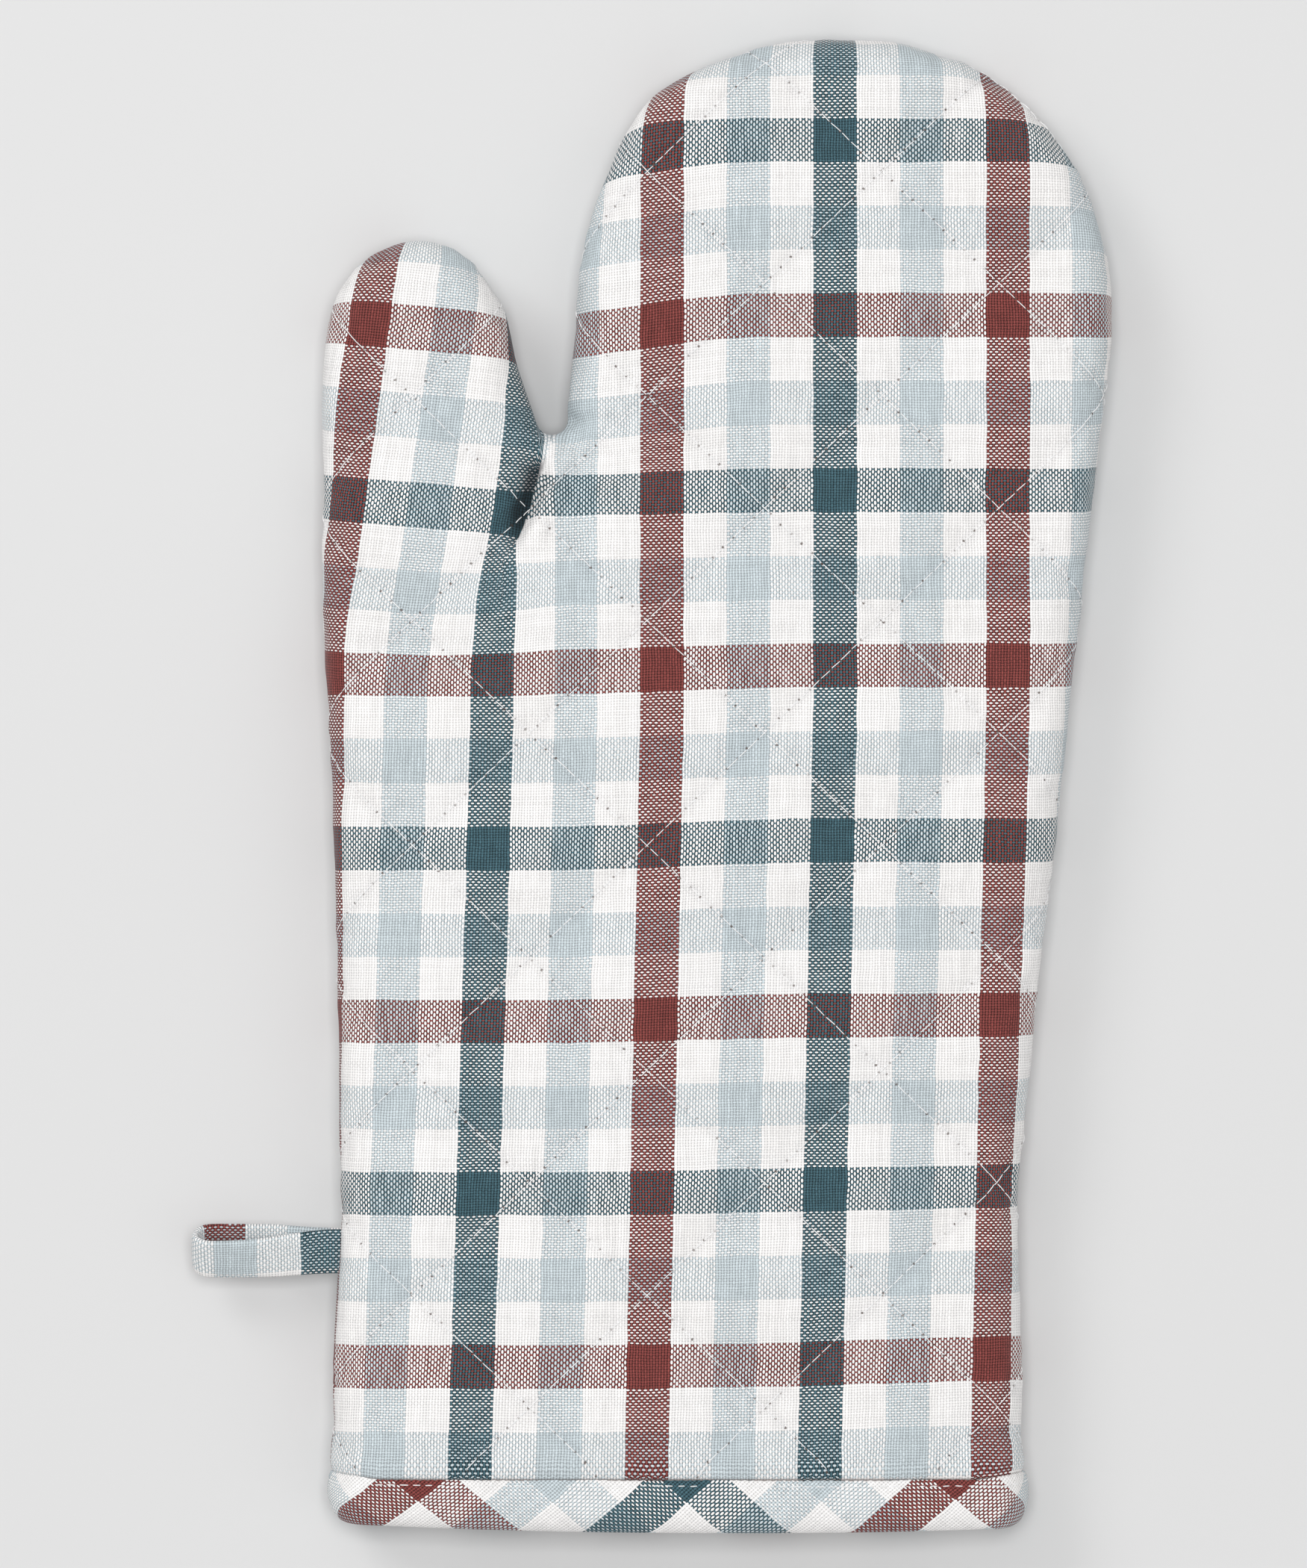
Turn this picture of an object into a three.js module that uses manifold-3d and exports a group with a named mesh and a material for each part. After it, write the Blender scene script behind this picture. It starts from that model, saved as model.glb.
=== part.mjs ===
// An oven mitt that lies flat on its back panel, thumb to the left, fingers towards +Y.
// Lengths are millimetres. The drawing frame has its origin at the middle of the cuff's edge,
// halfway through the mitt; the finished group is set with the middle of its footprint at the origin.

import * as THREE from "three";
import { mergeVertices } from "three/addons/utils/BufferGeometryUtils.js";
import Module from "manifold-3d";

const wasm = await Module();
wasm.setup();

// Outline of the mitt.
const CUFF_TO_CROTCH = 235; // cuff edge to the fork between thumb and fingers
const FINGER_LENGTH = 85; // fork to fingertip
const FINGER_WIDTH = 116.5; // widest place of the finger pocket
const FINGER_OFFSET = 35.5; // middle of the finger pocket, right of the cuff's middle
const FINGER_TIP_RISE = 64; // height of the rounded fingertip
const FINGER_TIP_POWER = 2.2; // 2 is an ellipse, more is squarer
const CUFF_WIDTH = 150;
const WRIST_WIDTH = 145.5; // narrowest place above the cuff
const WRIST_HEIGHT = 62; // cuff edge to the wrist
const PALM_RIGHT = 86.5; // the little-finger side, below the finger pocket
const PALM_HEIGHT = 195; // cuff edge to where PALM_RIGHT is measured
const THUMB_LENGTH = 42; // fork to thumb tip
const THUMB_WIDTH = 41.5;
const THUMB_TIP_STRETCH = 1.2; // the tip's height as a share of half the thumb's width
const THUMB_OFFSET = -55.5; // middle of the thumb, left of the cuff's middle
const FORK_OFFSET = -27; // the fork, left of the cuff's middle
const FORK_RADIUS = 3;

// Thickness of the mitt and of what its two panels are made of.
const THICKNESS = 24; // both panels and the space for the hand
const EDGE_ROUND = 8; // how far in from the side seam a panel is still curving
const OUTER_FABRIC = 0.6;
const WADDING = 4;
const LINING = 0.5;
const LAYER_GAP = 0.3; // between pieces that touch
const SEAM_FLAT = 1; // upright band at the side seam

// Bias binding folded round the cuff's edge.
const BINDING_WIDTH = 12;
const BINDING_FABRIC = 0.8;

// Where the fingers and the thumb fold.
const KNUCKLE_START = 5; // above the fork
const KNUCKLE_LENGTH = 36; // the fabric that bends with the fingers
const THUMB_FOLD_ANGLE = THREE.MathUtils.degToRad(20); // slope of the thumb's fold line
const THUMB_ROOT_LENGTH = 26; // the fabric that bends with the thumb

// Hanging loop, sewn into the thumb side's seam.
const LOOP_HEIGHT = 60; // cuff edge to the middle of the loop
const LOOP_WIDTH = 10;
const LOOP_REACH = 31.5; // seam to the loop's far end
const LOOP_PLY = 1.7; // thickness of the folded strip
const LOOP_OPENING = 6.4; // between its two plies
const LOOP_TAPER = 12; // length over which the plies part

// Facets.
const SIDE_STEPS = 8;
const TIP_STEPS = 14;
const THUMB_STEPS = 10;
const FORK_STEPS = 4;
const EDGE_STEPS = 3;
const LOOP_END_STEPS = 8;

const REACH = 1000; // further than any part of the mitt
const BELOW_CUFF = 30; // the uncut blank runs on past the cuff

const panel = OUTER_FABRIC + WADDING + LINING + 2 * LAYER_GAP;
const fingertip = CUFF_TO_CROTCH + FINGER_LENGTH;
const thumbTip = {
  x: THUMB_OFFSET,
  halfWidth: THUMB_WIDTH / 2,
  rise: (THUMB_TIP_STRETCH * THUMB_WIDTH) / 2,
};
thumbTip.y = CUFF_TO_CROTCH + THUMB_LENGTH - thumbTip.rise;
const sharpestTip = thumbTip.halfWidth ** 2 / thumbTip.rise;
const edgeRound = Math.min(EDGE_ROUND, sharpestTip - LINING);

const fork = new THREE.Vector2(FORK_OFFSET, CUFF_TO_CROTCH);
const thumbFoldLine = new THREE.Vector2(Math.cos(THUMB_FOLD_ANGLE), Math.sin(THUMB_FOLD_ANGLE));
const thumbAxis = new THREE.Vector2(-thumbFoldLine.y, thumbFoldLine.x);

// A smooth side of the outline through a few [x, y] stations.
function side(stations) {
  const points = stations.map(([x, y]) => new THREE.Vector2(x, y));
  return new THREE.SplineCurve(points).getPoints(SIDE_STEPS);
}

// The rounded end of a pocket, from its right side over the top to its left side.
function tip(x, y, halfWidth, rise, power, steps) {
  const points = [];
  for (let i = 0; i <= steps; i++) {
    const angle = (i / steps) * Math.PI;
    const across = Math.sign(Math.cos(angle)) * Math.abs(Math.cos(angle)) ** (2 / power);
    const up = Math.sin(angle) ** (2 / power);
    points.push(new THREE.Vector2(x + halfWidth * across, y + rise * up));
  }
  return points;
}

// The mitt's outline, anticlockwise, running on below the cuff.
function mittOutline() {
  const wrist = WRIST_WIDTH / 2;
  const cuff = CUFF_WIDTH / 2;
  const pocketBase = fingertip - FINGER_TIP_RISE;
  const pocketRight = FINGER_OFFSET + FINGER_WIDTH / 2;
  const thumbLeft = THUMB_OFFSET - thumbTip.halfWidth;
  const forkArc = new THREE.EllipseCurve(
    fork.x, fork.y + FORK_RADIUS, FORK_RADIUS, FORK_RADIUS, 0, Math.PI, true, 0,
  ).getPoints(FORK_STEPS);
  return [
    new THREE.Vector2(cuff, -BELOW_CUFF),
    ...side([[cuff, 0], [wrist, WRIST_HEIGHT], [PALM_RIGHT, PALM_HEIGHT], [pocketRight, pocketBase]]),
    ...tip(FINGER_OFFSET, pocketBase, FINGER_WIDTH / 2, FINGER_TIP_RISE, FINGER_TIP_POWER, TIP_STEPS).slice(1),
    ...forkArc,
    ...tip(THUMB_OFFSET, thumbTip.y, thumbTip.halfWidth, thumbTip.rise, 2, THUMB_STEPS),
    ...side([[thumbLeft, thumbTip.y], [-wrist, WRIST_HEIGHT], [-cuff, 0]]).slice(1),
    new THREE.Vector2(-cuff, -BELOW_CUFF),
  ];
}

const outline = mittOutline();

// Leftmost x of the outline at a height above the cuff.
function leftEdge(y) {
  const crossings = outline.map((point, i) => {
    const next = outline[(i + 1) % outline.length];
    const share = (y - point.y) / (next.y - point.y);
    return share >= 0 && share < 1 ? point.x + share * (next.x - point.x) : Infinity;
  });
  return Math.min(...crossings);
}

// A three.js geometry as a manifold-3d solid.
function solid(geometry) {
  const bare = geometry.index ? geometry.toNonIndexed() : geometry.clone();
  bare.deleteAttribute("normal");
  bare.deleteAttribute("uv");
  const merged = mergeVertices(bare, 1e-4);
  return new wasm.Manifold(
    new wasm.Mesh({
      numProp: 3,
      vertProperties: merged.attributes.position.array,
      triVerts: new Uint32Array(merged.index.array),
    }),
  );
}

// A manifold-3d solid as a three.js geometry.
function geometryOf(manifold) {
  const mesh = manifold.getMesh();
  const geometry = new THREE.BufferGeometry();
  geometry.setAttribute("position", new THREE.BufferAttribute(mesh.vertProperties, mesh.numProp));
  geometry.setIndex(new THREE.BufferAttribute(mesh.triVerts, 1));
  geometry.computeVertexNormals();
  return geometry;
}

// The mitt as one filled shape whose skin lies a distance inside the outer fabric.
// Its cross-section is flat on top and below, with quarter-ellipse edges.
function blank(inset) {
  const geometry = new THREE.ExtrudeGeometry(new THREE.Shape(outline), {
    depth: SEAM_FLAT,
    bevelThickness: (THICKNESS - SEAM_FLAT) / 2 - inset,
    bevelSize: edgeRound - inset,
    bevelOffset: -edgeRound,
    bevelSegments: EDGE_STEPS,
  });
  geometry.translate(0, 0, -SEAM_FLAT / 2);
  return solid(geometry);
}

// Everything on the side of a point that a direction looks towards.
function beyond(point, direction) {
  const geometry = new THREE.BoxGeometry(REACH, REACH, REACH);
  geometry.translate(0, 0, REACH / 2);
  const turn = new THREE.Quaternion().setFromUnitVectors(
    new THREE.Vector3(0, 0, 1),
    new THREE.Vector3(...direction).normalize(),
  );
  geometry.applyQuaternion(turn);
  geometry.translate(...point);
  return solid(geometry);
}

// A point on the mitt's middle plane, a distance along the thumb from the fork.
function alongThumb(distance) {
  const point = fork.clone().addScaledVector(thumbAxis, distance);
  return [point.x, point.y, 0];
}

const halfGap = LAYER_GAP / 2;
const thumbWard = [thumbAxis.x, thumbAxis.y, 0];
const knuckleStart = CUFF_TO_CROTCH + KNUCKLE_START;
const knuckleEnd = knuckleStart + KNUCKLE_LENGTH;
const leftOfFork = beyond([fork.x, 0, 0], [-1, 0, 0]);
const thumbSide = beyond(alongThumb(halfGap), thumbWard).intersect(leftOfFork);
const notHand = beyond(alongThumb(-halfGap), thumbWard).intersect(leftOfFork);
const handSide = beyond([0, BINDING_FABRIC + LAYER_GAP, 0], [0, 1, 0]).subtract(notHand);

// The lengths of panel between fold lines, each as the space it is cut from.
const stretches = {
  palm: handSide.subtract(beyond([0, knuckleStart - halfGap, 0], [0, 1, 0])),
  knuckles: handSide
    .intersect(beyond([0, knuckleStart + halfGap, 0], [0, 1, 0]))
    .subtract(beyond([0, knuckleEnd - halfGap, 0], [0, 1, 0])),
  fingers: handSide.intersect(beyond([0, knuckleEnd + halfGap, 0], [0, 1, 0])),
  thumb_root: thumbSide.subtract(beyond(alongThumb(THUMB_ROOT_LENGTH - halfGap), thumbWard)),
  thumb: thumbSide.intersect(beyond(alongThumb(THUMB_ROOT_LENGTH + halfGap), thumbWard)),
};

const faces = {
  front: beyond([0, 0, halfGap], [0, 0, 1]),
  back: beyond([0, 0, -halfGap], [0, 0, -1]),
};

// Depth below the panel's face of each layer, free and where the binding pinches the wadding.
const bindingSkin = BINDING_FABRIC + LAYER_GAP;
const bindingTop = BINDING_WIDTH + LAYER_GAP;
const waddingDepth = OUTER_FABRIC + LAYER_GAP;
const liningDepth = waddingDepth + WADDING + LAYER_GAP;
const layers = {
  outer: {
    depth: 0,
    thickness: OUTER_FABRIC,
    pinchedDepth: bindingSkin,
    pinchedThickness: OUTER_FABRIC,
    freeAbove: bindingTop,
  },
  wadding: {
    depth: waddingDepth,
    thickness: WADDING,
    pinchedDepth: waddingDepth + bindingSkin,
    pinchedThickness: WADDING - 2 * bindingSkin,
    freeAbove: bindingTop + waddingDepth,
  },
  lining: {
    depth: liningDepth,
    thickness: LINING,
    pinchedDepth: liningDepth - bindingSkin,
    pinchedThickness: LINING,
    freeAbove: bindingTop,
  },
};

const materials = {
  outer: new THREE.MeshStandardMaterial({ color: 0xc3c8cc, roughness: 0.9 }),
  wadding: new THREE.MeshStandardMaterial({ color: 0xf4f2ec, roughness: 1 }),
  lining: new THREE.MeshStandardMaterial({ color: 0xe9e6df, roughness: 0.95 }),
  binding: new THREE.MeshStandardMaterial({ color: 0xa89a9c, roughness: 0.9 }),
  loop: new THREE.MeshStandardMaterial({ color: 0xa9b7bd, roughness: 0.9 }),
};

const mitt = new THREE.Group();

function addPiece(name, manifold, material) {
  const mesh = new THREE.Mesh(geometryOf(manifold), material);
  mesh.name = name;
  mitt.add(mesh);
}

// The loop's ends are caught in the side seam and reach in as far as the lining.
const loopSeam = leftEdge(LOOP_HEIGHT);
const loopPivot = loopSeam - LOOP_PLY - LAYER_GAP;

function loopTail(clearance) {
  const outerEnd = loopSeam - (clearance ? REACH : 0);
  const innerEnd = loopSeam + liningDepth - LAYER_GAP + clearance;
  const width = LOOP_WIDTH + 2 * clearance;
  const geometry = new THREE.BoxGeometry(innerEnd - outerEnd, width, 2 * (LOOP_PLY + clearance));
  geometry.translate((innerEnd + outerEnd) / 2, LOOP_HEIGHT, 0);
  return solid(geometry);
}

// The loop seen along the seam: two plies that part from a round root and meet in a round end.
function hangingLoop() {
  const half = LOOP_OPENING / 2;
  const end = loopSeam - LOOP_REACH + half + LOOP_PLY;
  const parted = loopPivot - LOOP_TAPER;
  const turn = loopPivot - LOOP_TAPER / 2;
  const profile = new THREE.Shape();
  profile.moveTo(loopPivot, -LOOP_PLY);
  profile.absarc(loopPivot, 0, LOOP_PLY, -Math.PI / 2, Math.PI / 2, false);
  profile.bezierCurveTo(turn, LOOP_PLY, turn, half + LOOP_PLY, parted, half + LOOP_PLY);
  profile.lineTo(end, half + LOOP_PLY);
  profile.absarc(end, 0, half + LOOP_PLY, Math.PI / 2, (3 * Math.PI) / 2, false);
  profile.lineTo(parted, -half - LOOP_PLY);
  profile.bezierCurveTo(turn, -half - LOOP_PLY, turn, -LOOP_PLY, loopPivot, -LOOP_PLY);
  const eye = new THREE.Path();
  const eyeStart = loopPivot - LOOP_TAPER / 3;
  const eyeTurn = (eyeStart + parted) / 2;
  eye.moveTo(eyeStart, 0);
  eye.quadraticCurveTo(eyeTurn, -half, parted, -half);
  eye.lineTo(end, -half);
  eye.absarc(end, 0, half, (3 * Math.PI) / 2, Math.PI / 2, true);
  eye.lineTo(parted, half);
  eye.quadraticCurveTo(eyeTurn, half, eyeStart, 0);
  profile.holes.push(eye);
  const geometry = new THREE.ExtrudeGeometry(profile, {
    depth: LOOP_WIDTH,
    bevelEnabled: false,
    curveSegments: LOOP_END_STEPS,
  });
  geometry.translate(0, 0, -LOOP_WIDTH / 2);
  geometry.rotateX(Math.PI / 2);
  geometry.translate(0, LOOP_HEIGHT, 0);
  return solid(geometry);
}

// Bias strip folded over the cuff's raw edge: an outer leg, the fold and an inner leg.
function cuffBinding() {
  const strip = blank(0)
    .subtract(blank(panel))
    .intersect(beyond([0, 0, 0], [0, 1, 0]))
    .subtract(beyond([0, BINDING_WIDTH, 0], [0, 1, 0]));
  const edge = blank(BINDING_FABRIC)
    .subtract(blank(panel - BINDING_FABRIC))
    .intersect(beyond([0, BINDING_FABRIC, 0], [0, 1, 0]));
  return strip.subtract(edge);
}

// One layer of both panels, stepped in where the binding pinches the cuff.
function layerSkin({ depth, thickness, pinchedDepth, pinchedThickness, freeAbove }) {
  const free = blank(depth).subtract(blank(depth + thickness));
  const pinched = blank(pinchedDepth).subtract(blank(pinchedDepth + pinchedThickness));
  const outermost = Math.min(depth, pinchedDepth);
  const innermost = Math.max(depth + thickness, pinchedDepth + pinchedThickness);
  const step = blank(outermost).subtract(blank(innermost));
  const freeFrom = beyond([0, freeAbove, 0], [0, 1, 0]);
  const pinchedTo = beyond([0, freeAbove + thickness, 0], [0, 1, 0]);
  return free
    .intersect(freeFrom)
    .add(pinched.subtract(pinchedTo))
    .add(step.intersect(freeFrom).subtract(pinchedTo));
}

const tailSpace = loopTail(LAYER_GAP);
for (const [layerName, layer] of Object.entries(layers)) {
  const skin = layerSkin(layer).subtract(tailSpace);
  for (const [faceName, face] of Object.entries(faces)) {
    for (const [stretchName, stretch] of Object.entries(stretches)) {
      const name = `${faceName}_${layerName}_${stretchName}`;
      addPiece(name, skin.intersect(face).intersect(stretch), materials[layerName]);
    }
  }
}
addPiece("cuff_binding", cuffBinding(), materials.binding);
addPiece("loop_tail", loopTail(0), materials.loop);
addPiece("hanging_loop", hangingLoop(), materials.loop);

// Rest the mitt on the ground with the middle of its footprint at the origin.
const bounds = new THREE.Box3().setFromObject(mitt);
const middle = bounds.getCenter(new THREE.Vector3());
mitt.position.set(-middle.x, -middle.y, -bounds.min.z);

const part = new THREE.Group();
part.add(mitt);
export default part;
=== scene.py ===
"""A quilted oven mitt in yarn-dyed plaid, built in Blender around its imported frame."""

import logging
import math
from dataclasses import dataclass, field
from enum import Enum

import bmesh
import bpy
import numpy as np
from bpy.types import Material, Mesh, Node, NodeSocket, NodeTree, Object
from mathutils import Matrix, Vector, noise
from mathutils.bvhtree import BVHTree
from mathutils.geometry import delaunay_2d_cdt
from mathutils.kdtree import KDTree


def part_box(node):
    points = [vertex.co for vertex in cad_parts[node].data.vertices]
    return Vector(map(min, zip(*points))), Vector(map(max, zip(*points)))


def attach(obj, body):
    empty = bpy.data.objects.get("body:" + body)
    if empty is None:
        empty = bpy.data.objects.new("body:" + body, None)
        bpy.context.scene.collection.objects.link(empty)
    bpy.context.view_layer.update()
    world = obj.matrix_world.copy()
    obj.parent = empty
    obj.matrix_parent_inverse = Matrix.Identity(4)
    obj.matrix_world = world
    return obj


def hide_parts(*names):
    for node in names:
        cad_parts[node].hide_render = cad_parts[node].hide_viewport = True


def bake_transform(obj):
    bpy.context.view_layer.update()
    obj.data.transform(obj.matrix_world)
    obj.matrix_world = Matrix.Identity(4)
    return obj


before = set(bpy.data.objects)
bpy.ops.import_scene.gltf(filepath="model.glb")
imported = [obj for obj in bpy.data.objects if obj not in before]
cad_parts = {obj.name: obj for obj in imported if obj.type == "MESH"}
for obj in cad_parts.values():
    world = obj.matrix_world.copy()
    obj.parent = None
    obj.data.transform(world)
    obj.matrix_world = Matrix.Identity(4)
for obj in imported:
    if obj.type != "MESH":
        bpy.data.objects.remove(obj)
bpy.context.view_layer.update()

MM = 0.001
Array = np.ndarray
Pair = tuple[float, float]
Colour = tuple[float, float, float]
log = logging.getLogger("oven_mitt")


class Face(Enum):
    """The two sides of the mitt, with the way each looks along Z."""

    FRONT = 1
    BACK = -1

    @property
    def label(self) -> str:
        """The name used in the names of pieces and CAD nodes."""
        return self.name.lower()


class Region(Enum):
    """The stretch of the mitt that a piece covers."""

    HAND = "hand"
    THUMB = "thumb"


class Layer(Enum):
    """The three sheets that each panel is quilted from."""

    COVER = "outer"
    WADDING = "wadding"
    LINING = "lining"

    @property
    def slot(self) -> str:
        """A name for the layer's finish; nothing uses it."""
        return "outer_fabric" if self is Layer.COVER else self.value


# Small mesh helpers


def unit(rows: Array) -> Array:
    """Rows of vectors, each made one unit long."""
    return rows / np.maximum(np.linalg.norm(rows, axis=-1, keepdims=True), 1e-12)


def ease(value: Array | float) -> Array | float:
    """A smooth step from 0 to 1 as value goes from 0 to 1."""
    t = np.clip(value, 0, 1)
    return t * t * (3 - 2 * t)


def row_lengths(points: Array) -> Array:
    """Distance along a row of points, starting at 0."""
    return np.concatenate([[0], np.cumsum(np.linalg.norm(np.diff(points, axis=0), axis=1))])


def resample(points: Array, spacing: float) -> Array:
    """The same row of points at an even spacing.

    Args:
        points: the row, N by any number of columns.
        spacing: the wanted distance between points.

    Returns:
        The new row, with the same two ends.
    """
    length = row_lengths(points)
    steps = np.linspace(0, length[-1], max(2, round(length[-1] / spacing) + 1))
    return np.column_stack([np.interp(steps, length, column) for column in points.T])


def fabric_noise(points: Array, scale: float, seed: float) -> Array:
    """Smooth noise from -1 to 1 at each point.

    Args:
        points: N by 2 or 3, in metres.
        scale: the size of its bumps, in metres.
        seed: any number; another number gives other bumps.

    Returns:
        One value for each point.
    """
    flat = np.zeros((len(points), 3))
    flat[:, : points.shape[1]] = points / scale
    flat += seed * np.array([17.3, 31.7, 5.9])
    return np.array([noise.noise(Vector(point)) for point in flat])


def mesh_object(name: str, vertices: Array, faces: list, maps: dict[str, Array]) -> Object:
    """A smooth-shaded mesh object in the scene.

    Args:
        name: the piece's name.
        vertices: N by 3, in metres in the frame.
        faces: rows of vertex numbers, seen anticlockwise from outside.
        maps: for each UV map, N by 2 coordinates in metres.

    Returns:
        The new object, at the origin.
    """
    mesh = bpy.data.meshes.new(name)
    mesh.from_pydata(vertices.tolist(), [], [list(map(int, face)) for face in faces])
    mesh.validate()
    corners = np.zeros(len(mesh.loops), np.int32)
    mesh.loops.foreach_get("vertex_index", corners)
    for title, places in maps.items():
        layer = mesh.uv_layers.new(name=title)
        layer.data.foreach_set("uv", places[corners].astype(np.float32).ravel())
    mesh.polygons.foreach_set("use_smooth", np.ones(len(mesh.polygons), bool))
    mesh.update()
    made = bpy.data.objects.new(name, mesh)
    bpy.context.scene.collection.objects.link(made)
    return made


def vertex_normals(mesh: Mesh) -> Array:
    """The mesh's smooth normals, N by 3."""
    normals = np.zeros(len(mesh.vertices) * 3, np.float32)
    mesh.vertices.foreach_get("normal", normals)
    return normals.reshape(-1, 3).astype(float)


def vertex_places(mesh: Mesh) -> Array:
    """The mesh's vertices, N by 3."""
    places = np.zeros(len(mesh.vertices) * 3, np.float32)
    mesh.vertices.foreach_get("co", places)
    return places.reshape(-1, 3).astype(float)


def vertex_map(mesh: Mesh, title: str) -> Array:
    """A UV map that has no seams, as one pair for each vertex."""
    corners = np.zeros(len(mesh.loops), np.int32)
    mesh.loops.foreach_get("vertex_index", corners)
    pairs = np.zeros(len(mesh.loops) * 2, np.float32)
    mesh.uv_layers[title].data.foreach_get("uv", pairs)
    places = np.zeros((len(mesh.vertices), 2))
    places[corners] = pairs.reshape(-1, 2)
    return places


def move_vertices(mesh: Mesh, places: Array) -> None:
    """Put the mesh's vertices at new places, N by 3."""
    mesh.vertices.foreach_set("co", places.astype(np.float32).ravel())
    mesh.update()


def face_outwards(mesh: Mesh) -> None:
    """Turn the faces of a closed mesh so that they all look out."""
    loose = bmesh.new()
    loose.from_mesh(mesh)
    bmesh.ops.recalc_face_normals(loose, faces=loose.faces[:])
    loose.to_mesh(mesh)
    loose.free()


def tube_faces(rings: int, around: int, closed: bool) -> list[tuple[int, ...]]:
    """Quads that join rings of vertices into a tube.

    Args:
        rings: how many rings there are.
        around: how many vertices each has.
        closed: whether the last ring joins the first.

    Returns:
        Rows of vertex numbers.
    """
    return [
        (
            i * around + k,
            i * around + (k + 1) % around,
            (i + 1) % rings * around + (k + 1) % around,
            (i + 1) % rings * around + k,
        )
        for i in range(rings if closed else rings - 1)
        for k in range(around)
    ]


def fade(distance: Array, reach: float) -> Array:
    """A bell that is 1 at a distance of 0 and has died away at about twice its reach."""
    return np.exp(-((distance / reach) ** 2))


# Shape of the mitt


def middle_height() -> float:
    """Height of the mitt's middle plane, where the loop is sewn in."""
    low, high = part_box("loop_tail")
    return (low.z + high.z) / 2


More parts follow.
